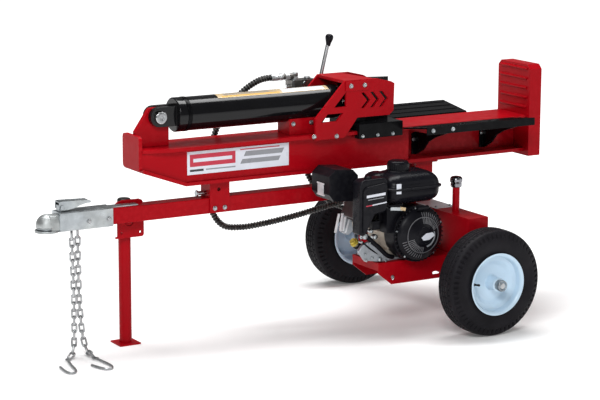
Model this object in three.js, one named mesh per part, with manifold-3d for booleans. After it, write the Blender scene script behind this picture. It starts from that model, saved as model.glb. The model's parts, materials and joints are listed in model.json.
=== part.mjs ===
// Towable hydraulic log splitter. Millimetres, +Z up, +X from the coupler towards the foot plate,
// +Y towards the side away from the engine. In the machine's own axes the wheels turn about
// X = 0 and the ground is Z = 0. The exported group is moved so that its origin is the centre
// of its footprint.

import * as THREE from 'three';
import { mergeVertices } from 'three/addons/utils/BufferGeometryUtils.js';
import Module from 'manifold-3d';

const wasm = await Module();
wasm.setup();

// ---------------------------------------------------------------- driving dimensions

const GAP = 0.3; // between pieces that touch
const PLATE = 6; // usual plate thickness

const WHEEL = { tyreR: 202, tyreHalf: 56, rimR: 118, boreR: 14, track: 965 };
const AXLE_Z = WHEEL.tyreR;
const AXLE_R = 13;
const HUB_END = 92; // hub face beyond the wheel's centre plane

const TONGUE = { y0: -30, y1: 28, z0: 474, z1: 532, front: -1450, rear: -40, wall: 5 };
const TANK = { x0: -28, x1: 62, halfY: 385, z0: 182, z1: 424, wall: 4 };
const PIVOT = { x: 0, z: 515, r: 16 };
const FILLER = { x: 14, y: -240, r: 14, top: 519 };

const BEAM = {
  front: -1227, rear: 450, top: 739.5, bottom: 594, flange: 12.5, web: 5,
  halfTop: 92, halfBottom: 73.6, bend: -1055, endBottom: 656, boxY: 63, boxEnd: -88,
};
const FOOT = { x0: 450, x1: 507, half: 105, z0: 578, z1: 940, chamfer: 18 };

const CYL = { z: 847, r: 62, bore: 52, rear: -1070, front: -388, pinX: -1138, rodR: 25 };
const STRIPPER = { inner: 92.6, outer: 103, rear: -529, front: -182, top: 937 };
const RAM = { rear: -335, edge: -145, halfBase: 108, stroke: 575 };
const VALVE = { x0: -505, x1: -401, y0: 110, y1: 160, z0: 868, z1: 918 };

const ENGINE = { x: -209, z: 376, baseZ: 270, frontY: -366, rearY: -108, caseY: -250 };
const PLATFORM = { x0: -359, x1: TANK.x0, y0: -280, y1: -98, bottom: 184 };

const JACK = { x: -1234, y: 72, r: 23, pivotZ: 466, top: 516, foot: 42 };
const COUPLER = { ballX: -1572, ballZ: 493, domeR: 38, ballR: 26, half: 35.5, z0: 468, z1: 538 };
const HITCH_PIVOT = { x: -1520, z: 552 };
const LOCK = { x: -900, z: 548, r: 8 };

// ---------------------------------------------------------------- materials

function material(color, roughness, metalness = 0) {
  return new THREE.MeshStandardMaterial({ color, roughness, metalness });
}

const RED = () => material(0xb81420, 0.3);
const GLOSS_BLACK = () => material(0x0c0c0e, 0.2);
const SATIN_BLACK = () => material(0x1b1c1f, 0.5);
const RUBBER = () => material(0x232427, 0.85);
const ZINC = () => material(0xb9bec2, 0.35, 0.9);
const STEEL = () => material(0x8f9397, 0.4, 0.9);
const CHROME = () => material(0xd8dadd, 0.12, 1);
const RIM_WHITE = () => material(0xdfe8ef, 0.4);
const ALUMINIUM = () => material(0xb3b0aa, 0.5, 0.8);
const YELLOW = () => material(0xd8b52a, 0.5);

// ---------------------------------------------------------------- solids

// A closed manifold solid from a three.js geometry.
function solid(geometry) {
  const bare = geometry.clone();
  for (const name of ['normal', 'uv']) bare.deleteAttribute(name);
  const merged = mergeVertices(bare, 1e-3);
  const vertProperties = new Float32Array(merged.attributes.position.array);
  const index = new Uint32Array(merged.index.array);
  const close = (triVerts) => new wasm.Manifold(new wasm.Mesh({ numProp: 3, vertProperties, triVerts }));
  const made = close(index);
  if (made.volume() > 0) return made;
  // The profile ran the other way round: turn every face over.
  return close(index.map((_, i) => index[i - (i % 3) + [0, 2, 1][i % 3]]));
}

function join(...solids) {
  return solids.reduce((a, b) => a.add(b));
}

function cut(base, ...tools) {
  return tools.reduce((a, b) => a.subtract(b), base);
}

function outline(points, holes = []) {
  const shape = new THREE.Shape(points.map(([u, v]) => new THREE.Vector2(u, v)));
  for (const [u, v, r] of holes) {
    shape.holes.push(new THREE.Path().absarc(u, v, r, 0, 2 * Math.PI, true));
  }
  return shape;
}

function extrude(shape, depth, curveSegments) {
  return new THREE.ExtrudeGeometry(shape, { depth, bevelEnabled: false, curveSegments });
}

// A plate with its outline in X and Z, from y0 to y1.
function plateXZ(points, y0, y1, holes = [], curveSegments = 8) {
  const geometry = extrude(outline(points, holes), y1 - y0, curveSegments);
  geometry.rotateX(Math.PI / 2);
  geometry.translate(0, y1, 0);
  return solid(geometry);
}

// A plate with its outline in Y and Z, from x0 to x1.
function plateYZ(points, x0, x1, holes = [], curveSegments = 8) {
  const geometry = extrude(outline(points, holes), x1 - x0, curveSegments);
  geometry.rotateY(Math.PI / 2);
  geometry.rotateX(Math.PI / 2);
  geometry.translate(x0, 0, 0);
  return solid(geometry);
}

// A plate with its outline in X and Y, from z0 to z1.
function plateXY(points, z0, z1, holes = [], curveSegments = 8) {
  const geometry = extrude(outline(points, holes), z1 - z0, curveSegments);
  geometry.translate(0, 0, z0);
  return solid(geometry);
}

// A slab with chamfered edges. The chamfer goes inwards by size over a height of rise.
function pillow(points, z0, z1, size, rise) {
  const geometry = new THREE.ExtrudeGeometry(outline(points), {
    depth: z1 - z0 - 2 * rise, bevelThickness: rise, bevelSize: size, bevelOffset: -size,
    bevelSegments: 1,
  });
  geometry.translate(0, 0, z0 + rise);
  return solid(geometry);
}

function block(x0, x1, y0, y1, z0, z1) {
  const geometry = new THREE.BoxGeometry(x1 - x0, y1 - y0, z1 - z0);
  geometry.translate((x0 + x1) / 2, (y0 + y1) / 2, (z0 + z1) / 2);
  return solid(geometry);
}

// A rectangle with rounded corners as a list of points, for an outline.
function rounded(u0, u1, v0, v1, r, steps = 3) {
  const points = [];
  const centres = [[u1 - r, v1 - r], [u0 + r, v1 - r], [u0 + r, v0 + r], [u1 - r, v0 + r]];
  centres.forEach(([u, v], quarter) => {
    for (let i = 0; i <= steps; i += 1) {
      const angle = (quarter + i / steps) * Math.PI / 2;
      points.push([u + r * Math.cos(angle), v + r * Math.sin(angle)]);
    }
  });
  return points;
}

// An arc from angle a to angle b, in degrees, as a list of points.
function arc(u, v, r, a, b, steps) {
  return Array.from({ length: steps + 1 }, (_, i) => {
    const angle = THREE.MathUtils.degToRad(a + (b - a) * i / steps);
    return [u + r * Math.cos(angle), v + r * Math.sin(angle)];
  });
}

// A straight round bar between two points.
function bar(from, to, r, segments = 16) {
  const a = new THREE.Vector3(...from);
  const b = new THREE.Vector3(...to);
  const geometry = new THREE.CylinderGeometry(r, r, a.distanceTo(b), segments);
  const turn = new THREE.Quaternion();
  turn.setFromUnitVectors(new THREE.Vector3(0, 1, 0), b.clone().sub(a).normalize());
  geometry.applyQuaternion(turn);
  geometry.translate((a.x + b.x) / 2, (a.y + b.y) / 2, (a.z + b.z) / 2);
  return solid(geometry);
}

// A body of revolution. The profile holds [radius, distance along the axis] pairs.
// The axis starts at a point and runs along X, Y or Z.
function turned(profile, segments, axis, at) {
  const geometry = new THREE.LatheGeometry(profile.map(([r, h]) => new THREE.Vector2(r, h)), segments);
  if (axis === 'z') geometry.rotateX(Math.PI / 2);
  if (axis === 'x') geometry.rotateZ(-Math.PI / 2);
  geometry.translate(...at);
  return solid(geometry);
}

// A round bar or hose that follows a smooth curve through points.
function followed(points, r, sides, steps) {
  const curve = new THREE.CatmullRomCurve3(points.map((p) => new THREE.Vector3(...p)));
  const section = new THREE.Shape(arc(0, 0, r, 0, 360 - 360 / sides, sides - 1)
    .map(([u, v]) => new THREE.Vector2(u, v)));
  return solid(new THREE.ExtrudeGeometry(section, { steps, extrudePath: curve }));
}

// ---------------------------------------------------------------- assembly

const machine = new THREE.Group();

function add(name, shape, look) {
  const { vertProperties, triVerts } = shape.getMesh();
  const geometry = new THREE.BufferGeometry();
  geometry.setAttribute('position', new THREE.BufferAttribute(vertProperties, 3));
  geometry.setIndex(new THREE.BufferAttribute(triVerts, 1));
  geometry.computeVertexNormals();
  const mesh = new THREE.Mesh(geometry, look);
  mesh.name = name;
  machine.add(mesh);
}

// ---------------------------------------------------------------- wheels and axle

function wheel(side, sign) {
  const centre = [0, sign * WHEEL.track / 2, AXLE_Z];
  const { tyreR, tyreHalf, rimR, boreR } = WHEEL;
  const seat = rimR - 9;
  const tyre = [
    [seat + GAP, -46], [rimR + 6, -50], [150, -tyreHalf], [176, -tyreHalf + 3], [194, -45],
    [tyreR, -26], [tyreR, 26], [194, 45], [176, tyreHalf - 3], [150, tyreHalf],
    [rimR + 6, 50], [seat + GAP, 46], [seat + GAP, -46],
  ];
  const rim = [
    [boreR, -52], [26, -52], [26, 8], [70, 8], [92, 24], [seat - 5, 24], [seat - 5, -56],
    [rimR, -62], [seat, -46], [seat, 46], [rimR, 62], [seat - 5, 56], [seat - 5, 30], [88, 30],
    [68, 14], [25, 14], [25, HUB_END], [boreR, HUB_END], [boreR, -52],
  ];
  // Profiles are drawn with the outside of the wheel at positive distances.
  const facing = (profile) => (sign > 0 ? profile : profile.map(([r, h]) => [r, -h]).reverse());
  add(`tyre_${side}`, turned(facing(tyre), 26, 'y', centre), RUBBER());
  add(`rim_${side}`, turned(facing(rim), 26, 'y', centre), RIM_WHITE());
}

wheel('near', -1);
wheel('far', 1);

const axleEnd = WHEEL.track / 2 + HUB_END - 6;
add('axle', bar([0, -axleEnd, AXLE_Z], [0, axleEnd, AXLE_Z], AXLE_R, 16), STEEL());

// ---------------------------------------------------------------- frame

function hydraulicTank() {
  const { x0, x1, halfY, z0, z1, wall } = TANK;
  return cut(
    join(
      block(x0, x1, -halfY, halfY, z0, z1),
      bar([FILLER.x, FILLER.y, z1 - 1], [FILLER.x, FILLER.y, FILLER.top], FILLER.r, 14),
    ),
    block(x0 + wall, x1 - wall, -halfY + wall, halfY - wall, z0 + 40, z1 - wall),
    bar([0, -halfY - 1, AXLE_Z], [0, halfY + 1, AXLE_Z], AXLE_R + GAP),
    bar([FILLER.x, FILLER.y, z1 - 10], [FILLER.x, FILLER.y, FILLER.top + 1], FILLER.r - 3, 14),
  );
}

function tongueTube() {
  const { y0, y1, z0, z1, front, rear, wall } = TONGUE;
  return cut(
    block(front, rear, y0, y1, z0, z1),
    block(front - 1, rear + 1, y0 + wall, y1 - wall, z0 + wall, z1 - wall),
  );
}

function pivotPost() {
  const points = [
    [TONGUE.rear + GAP, TANK.z1 + GAP], [40, TANK.z1 + GAP],
    ...arc(PIVOT.x, PIVOT.z, 40, 0, 180, 10),
  ];
  return plateXZ(points, TONGUE.y0, TONGUE.y1, [[PIVOT.x, PIVOT.z, PIVOT.r + GAP]], 12);
}

function frontSupport() {
  const reach = { x0: -937, x1: -856, half: 36, bottom: 476, top: BEAM.bottom - GAP };
  const wall = 5.5;
  const side = [
    [reach.x0, reach.bottom], [reach.x1, reach.bottom], [reach.x1, reach.top],
    [reach.x0, reach.top],
  ];
  const holes = [[LOCK.x, 562, 7]];
  return cut(
    join(
      plateXZ(side, -reach.half, -reach.half + wall, holes),
      plateXZ(side, reach.half - wall, reach.half, holes),
      block(reach.x0, reach.x0 + wall, -reach.half + 1, reach.half - 1, TONGUE.z1 + 1, reach.top),
    ),
    bar([reach.x0 - 1, 0, LOCK.z], [reach.x0 + wall + 1, 0, LOCK.z], LOCK.r + GAP),
  );
}

function jackBracket() {
  const points = [
    [-1288, 405], [-1186, 405], ...arc(-1186, 415, 10, -90, 0, 3), [-1176, 528],
    [-1288, 534], [-1290, 520], [-1281, 518], [-1281, 412], [-1290, 410],
  ];
  const holes = [[-1267, 424, 5], [-1190, 422, 5], [JACK.x, JACK.pivotZ, 18]];
  return plateXZ(points, TONGUE.y1 + GAP, TONGUE.y1 + 8, holes);
}

add('hydraulic_tank', hydraulicTank(), RED());
add('tongue_tube', tongueTube(), RED());
add('pivot_post', pivotPost(), RED());
add('pivot_pin', join(
  bar([PIVOT.x, -52, PIVOT.z], [PIVOT.x, 50, PIVOT.z], PIVOT.r, 16),
  bar([PIVOT.x, -58, PIVOT.z], [PIVOT.x, -52, PIVOT.z], PIVOT.r + 8, 16),
), ZINC());
add('front_support_bracket', frontSupport(), RED());
add('jack_bracket', jackBracket(), RED());

function breatherCap() {
  const profile = [[0, 0], [20, 0], [22, 4], [22, 14], [24, 18], [24, 32], [20, 40], [0, 42]];
  return turned(profile, 18, 'z', [FILLER.x, FILLER.y, FILLER.top + GAP]);
}

add('breather_cap', breatherCap(), CHROME());

function enginePlatform() {
  const { x0, x1, y0, y1, bottom } = PLATFORM;
  const top = ENGINE.baseZ;
  const skirt = [
    [x0, top], [x0, 231], [x0 + 59, bottom], [x1 - GAP, bottom], [x1 - GAP, top],
  ];
  const slot = plateXZ(arc(-110, 206, 6, 90, 270, 4).concat(arc(-88, 206, 6, -90, 90, 4)), y0 - 1, y0 + 9);
  return cut(
    join(
      block(x0, x1 - GAP, y0, y1, top - 5, top),
      plateXZ(skirt, y0, y0 + 5, [[-292, 204, 6]]),
      plateXZ(skirt, y1 - 5, y1),
      block(x0, x0 + 5, y0 + 1, y1 - 1, 240, top),
    ),
    slot,
  );
}

add('engine_platform', enginePlatform(), RED());

// ---------------------------------------------------------------- jack stand

function jackLeg() {
  const sleeve = { y0: TONGUE.y1 + 8 + GAP, half: 40 };
  return join(
    bar([JACK.x, JACK.y, 5], [JACK.x, JACK.y, JACK.top], JACK.r, 20),
    block(JACK.x - 30, JACK.x + 30, sleeve.y0, JACK.y - 12, JACK.pivotZ - sleeve.half, JACK.pivotZ + sleeve.half),
    block(JACK.x - JACK.foot, JACK.x + JACK.foot, JACK.y - JACK.foot, JACK.y + JACK.foot, 0, 6),
    bar([JACK.x, TONGUE.y1 + 1, JACK.pivotZ], [JACK.x, JACK.y - 12, JACK.pivotZ], 16, 16),
  );
}

function jackCap() {
  const profile = [[0, 0], [JACK.r - 1, 0], [JACK.r + 2, 2], [JACK.r + 2, 22], [JACK.r - 4, 28], [0, 28]];
  return turned(profile, 18, 'z', [JACK.x, JACK.y, JACK.top + GAP]);
}

add('jack_leg', jackLeg(), RED());
add('jack_cap', jackCap(), RUBBER());

// ---------------------------------------------------------------- coupler, latch, chains

function couplerBody() {
  const { ballX, ballZ, domeR, ballR, half, z0, z1 } = COUPLER;
  const sphere = (r) => {
    const geometry = new THREE.SphereGeometry(r, 18, 10);
    geometry.rotateX(Math.PI / 2);
    geometry.translate(ballX, 0, ballZ);
    return solid(geometry);
  };
  const channelRear = -1329;
  const channelFront = -1536;
  const wall = 4;
  const outer = plateYZ(rounded(-half, half - 2, z0, z1, 5, 2), channelFront, channelRear);
  const neck = plateYZ(rounded(-28, 28, z0, 522, 8, 2), ballX, channelFront + 2);
  const lip = plateXY(arc(ballX, 0, domeR + 5, 0, 345, 23), z0, z0 + 7);
  const tail = block(channelRear - 2, -1222, -20, 18, TONGUE.z1 + GAP, TONGUE.z1 + 4.5);
  return cut(
    join(sphere(domeR), lip, neck, outer, tail),
    block(ballX - 60, ballX + 60, -60, 60, 430, z0),
    sphere(ballR),
    bar([ballX, 0, 430], [ballX, 0, ballZ], ballR, 20),
    block(ballX + 10, channelFront + 1, -21, 21, z0 - 1, ballZ + 8),
    block(channelFront + wall, channelRear + 1, -half + wall, half - 2 - wall, z0 - 1, z1 - wall),
  );
}

function couplerLever() {
  const { x, z } = HITCH_PIVOT;
  const side = [
    [x - 11, z + 22], [x + 106, z + 18], [x + 110, z + 12], [x + 68, z + 2], [x + 50, z - 6],
    [x + 22, z - 11], [x - 4, z - 11], [x - 11, z - 4],
  ];
  return cut(
    plateXZ(side, -19, 19),
    block(x - 20, x + 120, -15, 15, z - 20, z + 18),
    bar([x, -30, z], [x, 30, z], 5 + GAP, 12),
  );
}

add('coupler_body', join(
  couplerBody(),
  block(HITCH_PIVOT.x - 9, HITCH_PIVOT.x + 9, -12, 12, COUPLER.z1 - 3, HITCH_PIVOT.z + 8),
  bar([HITCH_PIVOT.x, -24, HITCH_PIVOT.z], [HITCH_PIVOT.x, 24, HITCH_PIVOT.z], 5, 12),
), ZINC());
add('coupler_lever', couplerLever(), ZINC());
add('ball_clamp', block(-1545, -1541, -14, 14, 470, 499), STEEL());

const CHAIN_R = 12;
const LINK_ANCHOR_Z = 463;
const chains = {
  left: [
    [-1483, -14, LINK_ANCHOR_Z], [-1482, -14, 395], [-1480, -14, 303], [-1478.5, -14, 211],
    [-1479, -14, 138], [-1480, -15, 82], [-1486, -20, 38], [-1500, -32, 14], [-1514, -42, 12.2],
  ],
  right: [
    [-1448, 12, LINK_ANCHOR_Z], [-1448, 12, 386], [-1447.5, 12, 294], [-1446, 12, 202],
    [-1442, 12, 146], [-1438, 11, 92], [-1432, 6, 44], [-1429, -16, 16], [-1430, -46, 12.3],
    [-1433, -74, 12.2],
  ],
};
const hooks = {
  left: [
    [-1524, -52], [-1541, -118], [-1556, -192], [-1570, -216], [-1588, -214], [-1592, -178],
    [-1586, -123],
  ],
  right: [
    [-1427, -88], [-1424, -133], [-1422, -200], [-1432, -226], [-1454, -230], [-1469, -197],
    [-1480, -154],
  ],
};
const HOOK_R = 5;
for (const side of ['left', 'right']) {
  add(`safety_chain_${side}`, followed(chains[side], CHAIN_R, 8, 24), ZINC());
  const wire = hooks[side].map(([x, y]) => [x, y, HOOK_R + 0.5]);
  add(`chain_hook_${side}`, followed(wire, HOOK_R, 8, 16), ZINC());
}

// ---------------------------------------------------------------- beam

function beamRail() {
  const { front, rear, top, bottom, flange, web, halfTop, halfBottom } = BEAM;
  const end = rear - GAP;
  const topPlate = plateXY([
    [front, -70], [-1130, -halfTop], [end, -halfTop], [end, halfTop], [-1130, halfTop], [front, 70],
  ], top - flange, top);
  const low = [
    [front, BEAM.endBottom], [BEAM.bend, bottom], [end, bottom], [end, bottom + flange],
    [BEAM.bend + 4, bottom + flange], [front, BEAM.endBottom + flange + 1],
  ];
  const webPlate = [
    [front, BEAM.endBottom + 4], [BEAM.bend, bottom + 2], [end, bottom + 2], [end, top - 2], [front, top - 2],
  ];
  const boxSide = [
    [front, BEAM.endBottom + 4], [BEAM.bend, bottom + 2], [BEAM.boxEnd, bottom + 2],
    [BEAM.boxEnd, top - 2], [front, top - 2],
  ];
  const endPlate = plateYZ(rounded(-66, 66, 662, 788, 16, 3), front - 13, front + 1);
  const lockLug = block(-922, -910, -20, 20, 534, bottom + 2);
  return cut(
    join(
      topPlate,
      plateXZ(low, -halfBottom, halfBottom),
      plateXZ(webPlate, -web, web),
      plateXZ(boxSide, -BEAM.boxY, -BEAM.boxY + PLATE),
      plateXZ(boxSide, BEAM.boxY - PLATE, BEAM.boxY),
      endPlate,
      lockLug,
    ),
    bar([-930, 0, LOCK.z], [-900, 0, LOCK.z], LOCK.r + 1),
  );
}

function pivotEars() {
  const ear = [
    [-38, PIVOT.z], ...arc(PIVOT.x, PIVOT.z, 38, 180, 360, 10), [38, BEAM.bottom - GAP],
    [-38, BEAM.bottom - GAP],
  ];
  const hole = [[PIVOT.x, PIVOT.z, PIVOT.r + GAP]];
  return join(
    plateXZ(ear, -43, -31, hole, 12),
    plateXZ(ear, 31, 43, hole, 12),
    block(-60, 60, -46, 46, BEAM.bottom - 12, BEAM.bottom - GAP),
  );
}

function cylinderLug() {
  const points = [
    [BEAM.front + 1 + GAP, BEAM.top + GAP], [-1091, BEAM.top + GAP], [-1091, 879], [-1168, 879],
    [BEAM.front + 1 + GAP, 797],
  ];
  return plateXZ(points, -10, 10, [[CYL.pinX, CYL.z, 22 + GAP]], 14);
}

function footPlate() {
  const { x0, x1, half, z0, z1, chamfer } = FOOT;
  const face = [
    [-half, z0], [half, z0], [half, z1 - chamfer], [half - chamfer, z1], [-half + chamfer, z1],
    [-half, z1 - chamfer],
  ];
  const pocket = plateYZ([
    [-half + 12, z0 - 1], [half - 12, z0 - 1], [half - 12, z1 - 28], [-half + 12, z1 - 28],
  ], x0 + 18, x1 + 1);
  const ribs = Array.from({ length: 5 }, (_, i) => {
    const z = BEAM.top + 32 + i * 38;
    return plateXZ([[x0 + 1, z - 6], [x0 + 1, z + 6], [x0 - 6, z + 3], [x0 - 6, z - 3]], -88, 88);
  });
  return join(cut(plateYZ(face, x0, x1), pocket), ...ribs);
}

// A log tray beside the beam. Sign is -1 on the engine's side.
function cradle(sign, x0, x1, gussets) {
  const sheet = [
    [110, 741], [275, 764], [275, 735], [269.5, 735], [269.5, 757.5], [110, 735],
  ];
  const gusset = [
    [5.4, 700], [108, 706], [112, 736], [262, 757], [262, 744], [226, 725], [147, 698],
    [100, 675], [66, 639], [18, 614], [5.4, 612],
  ];
  const facing = (points) => (sign > 0 ? points : points.map(([y, z]) => [-y, z]).reverse());
  const pads = gussets.map((x) => {
    const y = [5.4 * sign, 11.4 * sign].sort((a, b) => a - b);
    return block(x - 18, x + 18, ...y, 614, 698);
  });
  return join(
    plateYZ(facing(sheet), x0, x1),
    ...gussets.map((x) => plateYZ(facing(gusset), x - 4, x + 4)),
    ...pads,
  );
}

add('beam_rail', beamRail(), RED());
add('pivot_ears', pivotEars(), RED());
add('cylinder_lug', cylinderLug(), RED());
add('foot_plate', footPlate(), RED());
add('cradle_near', cradle(-1, -146, 352, [-20, 300]), GLOSS_BLACK());
add('cradle_far', cradle(1, -146, 302, [-20, 260]), GLOSS_BLACK());

// ---------------------------------------------------------------- hydraulic cylinder

function cylinderBarrel() {
  const { z, r, bore, rear, front, pinX } = CYL;
  const profile = [
    [0, rear], [r - 2, rear], [r + 1, rear + 3], [r + 1, rear + 28], [r, rear + 30],
    [r, front - 34], [bore, front - 34], [bore, rear + 30], [0, rear + 30],
  ];
  const shell = turned(profile, 28, 'x', [0, 0, z]);
  const eye = (y0, y1) => join(
    plateXZ(arc(pinX, z, 36, 90, 270, 10).concat([[rear + 4, z - 36], [rear + 4, z + 36]]), y0, y1),
  );
  return cut(
    join(shell, eye(10.4, 34), eye(-34, -10.4)),
    bar([pinX, -40, z], [pinX, 40, z], 22 + GAP, 20),
    bar([front - 60, 0, z + bore - 6], [front - 60, 0, z + r + 10], 8, 12),
  );
}

function gland() {
  const { z, r, bore, front, rodR } = CYL;
  const profile = [
    [rodR + GAP, front - 48], [bore - GAP, front - 48], [bore - GAP, front - 34 + GAP],
    [r + 1, front - 34 + GAP], [r + 1, front], [rodR + GAP, front], [rodR + GAP, front - 48],
  ];
  return turned(profile, 28, 'x', [0, 0, z]);
}

function pistonRod() {
  const { z, bore, rear, rodR } = CYL;
  const piston = rear + 31;
  const profile = [
    [0, piston], [bore - GAP, piston], [bore - GAP, piston + 25], [rodR, piston + 25],
    [rodR, RAM.rear - GAP], [0, RAM.rear - GAP],
  ];
  return turned(profile, 28, 'x', [0, 0, z]);
}

function saddle() {
  const { z, r } = CYL;
  return cut(
    block(-606, -498, -44, 44, BEAM.top + GAP, 800),
    bar([-610, 0, z], [-490, 0, z], r + GAP, 32),
  );
}

add('cylinder_barrel', cylinderBarrel(), GLOSS_BLACK());
add('cylinder_gland', gland(), GLOSS_BLACK());
add('cylinder_pin', join(
  bar([CYL.pinX, -48, CYL.z], [CYL.pinX, 46, CYL.z], 22, 20),
), CHROME());
add('piston_rod', pistonRod(), CHROME());
add('cylinder_saddle', saddle(), RED());

// ---------------------------------------------------------------- stripper

function stripperSide(sign) {
  const { inner, outer, rear, front, top } = STRIPPER;
  const points = [
    [rear, 722], [-404, 722], [-394, 731], [-346, 794], [-203, 794], [-185, 810], [front, 913],
    [-196, 921], [-263, top], [-400, top], [rear, 803],
  ];
  const y = [inner * sign, outer * sign].sort((a, b) => a - b);
  const through = [y[0] - 1, y[1] + 1];
  const triangle = plateXZ([[-396, 895], [-448, 839], [-396, 839]], ...through);
  const slot = plateXZ([[-504, 787], [-436, 787], [-408, 816], [-476, 816]], ...through);
  const chevrons = [-330, -290, -250].map((x) => plateXZ([
    [x, 828], [x + 14, 828], [x + 40, 857], [x + 14, 887], [x, 887], [x + 26, 857],
  ], ...through));
  const doubler = sign < 0
    ? block(-400, -300, -outer - 5, -outer + 1, 897, top - 3)
    : block(-400, -300, outer - 1, outer + 5, 897, top - 3);
  return join(cut(plateXZ(points, ...y), triangle, slot, ...chevrons), doubler);
}

function stripperTop() {
  const { inner, top } = STRIPPER;
  return plateXY([
    [-402, -inner + GAP], [-272, -inner + GAP], [-300, inner - GAP], [-402, inner - GAP],
  ], top - 12, top);
}

add('stripper_near', stripperSide(-1), RED());
add('stripper_far', stripperSide(1), RED());
add('stripper_top', stripperTop(), RED());

// ---------------------------------------------------------------- ram: wedge and slide

function wedge() {
  const { rear, edge } = RAM;
  const blade = plateXY([
    [rear, -40], [-265, -40], [edge, -1.5], [edge, 1.5], [-265, 40], [rear, 40],
  ], 768, 924);
  const head = block(rear, rear + 26, -62, 62, 768, 916);
  return join(blade, head);
}

function ramSlide() {
  const { rear, edge, halfBase } = RAM;
  const x0 = rear - 5;
  const gap = GAP + 0.2;
  return cut(
    block(x0, edge, -halfBase, halfBase, 712, 768 - GAP),
    block(x0 - 1, edge + 1, -BEAM.halfTop - gap, BEAM.halfTop + gap, BEAM.top - BEAM.flange - gap, BEAM.top + gap),
    block(x0 - 1, edge + 1, -BEAM.boxY - 12, BEAM.boxY + 12, 700, BEAM.top - BEAM.flange),
  );
}

add('wedge', wedge(), GLOSS_BLACK());
add('ram_slide', ramSlide(), GLOSS_BLACK());

// ---------------------------------------------------------------- valve and hoses

const SPOOL = { y: (VALVE.y0 + VALVE.y1) / 2, z: 893, r: 8 };
const PORT = { x: -533, z: 931 };
const LEVER = { x: VALVE.x1 + 24, z: SPOOL.z - 24 };

function valveBody() {
  const { x0, x1, y0, y1, z0, z1 } = VALVE;
  return cut(
    join(
      block(x0, x1, y0, y1, z0, z1),
      bar([-478, SPOOL.y, z1 - 2], [-478, SPOOL.y, PORT.z + 12], 12, 12),
      bar([-478, SPOOL.y, PORT.z], [PORT.x, SPOOL.y, PORT.z], 11, 12),
      bar([-440, SPOOL.y, z0 + 2], [-440, SPOOL.y, z0 - 12], 13, 12),
      block(x1 - 2, x1 + 34, y0 + 2, y0 + 10, LEVER.z - 12, SPOOL.z + 13),
    ),
    bar([x0 - 1, SPOOL.y, SPOOL.z], [x1 + 1, SPOOL.y, SPOOL.z], SPOOL.r + GAP, 16),
  );
}

function valveLever() {
  const base = [LEVER.x, SPOOL.y, LEVER.z];
  const tip = [LEVER.x + 45, SPOOL.y, 1038];
  const knob = [[0, 0], [7, 0], [12, 14], [15, 28], [12, 40], [0, 46]];
  const top = turned(knob, 14, 'z', tip);
  return join(
    bar([LEVER.x, VALVE.y0 + 10 + GAP, LEVER.z], [LEVER.x, SPOOL.y + 8, LEVER.z], 9, 12),
    bar(base, [tip[0], tip[1], tip[2] + 8], 6.5, 10),
    top,
  );
}

add('valve_body', valveBody(), SATIN_BLACK());
add('valve_spool', bar(
  [VALVE.x0 - 14, SPOOL.y, SPOOL.z], [VALVE.x1 + 4, SPOOL.y, SPOOL.z], SPOOL.r, 16,
), CHROME());
add('valve_lever', valveLever(), GLOSS_BLACK());

const HOSE_R = 12.5;
const PRESSURE_HOSE = [
  [-262.3, 60, 440], [-285, 60, 440], [-312, 60, 440], [-390, 63, 428], [-500, 76, 405],
  [-640, 104, 380], [-720, 124, 372], [-790, 132, 384], [-836, 134, 440], [-848, 134, 540],
  [-844, 134, 640], [-824, 134, 740], [-780, 132, 820], [-706, 130, 890], [-640, 132, 924],
  [-600, 135, PORT.z], [-566, 135, PORT.z], [PORT.x - GAP, 135, PORT.z],
];
const RETURN_HOSE = [
  [-440, 135, VALVE.z0 - 12 - GAP], [-440, 135, 838], [-440, 135, 815], [-450, 130, 700],
  [-444, 124, 600], [-412, 116, 520], [-340, 104, 440], [-230, 100, 395], [-140, 100, 380],
  [-80, 100, 380], [TANK.x0 - GAP, 100, 380],
];
add('pressure_hose', followed(PRESSURE_HOSE, HOSE_R, 8, 48), RUBBER());
add('return_hose', followed(RETURN_HOSE, HOSE_R, 8, 26), RUBBER());

function lockPin() {
  const tip = -923;
  return join(
    bar([tip, 0, LOCK.z], [tip - 48, 0, LOCK.z], LOCK.r, 14),
    bar([tip - 48, 0, LOCK.z], [tip - 54, 0, LOCK.z], LOCK.r + 4, 14),
  );
}

add('lock_pin', lockPin(), ZINC());

// ---------------------------------------------------------------- engine

const { x: CX, z: CZ } = ENGINE;
const LEAN = THREE.MathUtils.degToRad(25);
const THROTTLE = { x: -348, z: 490, tip: -289 };
const CRANK_R = 12.5;

// Moves a shape drawn along -X from the crank into the leaning cylinder's place.
function leaned(shape) {
  const place = new THREE.Matrix4().makeRotationY(LEAN);
  place.setPosition(CX, -180, CZ);
  return shape.transform(place.elements);
}

function crankcase() {
  const { baseZ, caseY, rearY } = ENGINE;
  const body = plateXZ([
    [CX - 131, baseZ + GAP], [CX + 95, baseZ + GAP], [CX + 95, CZ + 30], [CX + 60, CZ + 84],
    [CX - 82, CZ + 89], [CX - 88, CZ + 76], [CX - 88, CZ - 62], [CX - 131, CZ - 74],
  ], caseY, rearY);
  const spigot = leaned(block(-112, -60, -44, 44, -44, 44));
  const neck = bar(OIL.root, OIL.mouth, 13, 14);
  return cut(
    join(body, spigot, neck),
    bar([CX, caseY + 8, CZ], [CX, rearY - 8, CZ], 42, 20),
    bar([CX, caseY - 10, CZ], [CX, rearY + 10, CZ], CRANK_R + GAP, 16),
  );
}

function cylinderHead() {
  const core = block(-206, -112.3, -48, 48, -40, 40);
  const fins = [-134, -152, -170, -188, -204].map((x) => block(x, x + 6, -60, 60, -48, 48));
  const rockerCover = block(-234, -205, -46, 46, -38, 38);
  return leaned(join(core, ...fins, rockerCover));
}

const OIL = { root: [CX - 122, -124, 290], mouth: [CX - 155, -124, 318], cap: [CX - 155.24, -124, 318.2] };

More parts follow.
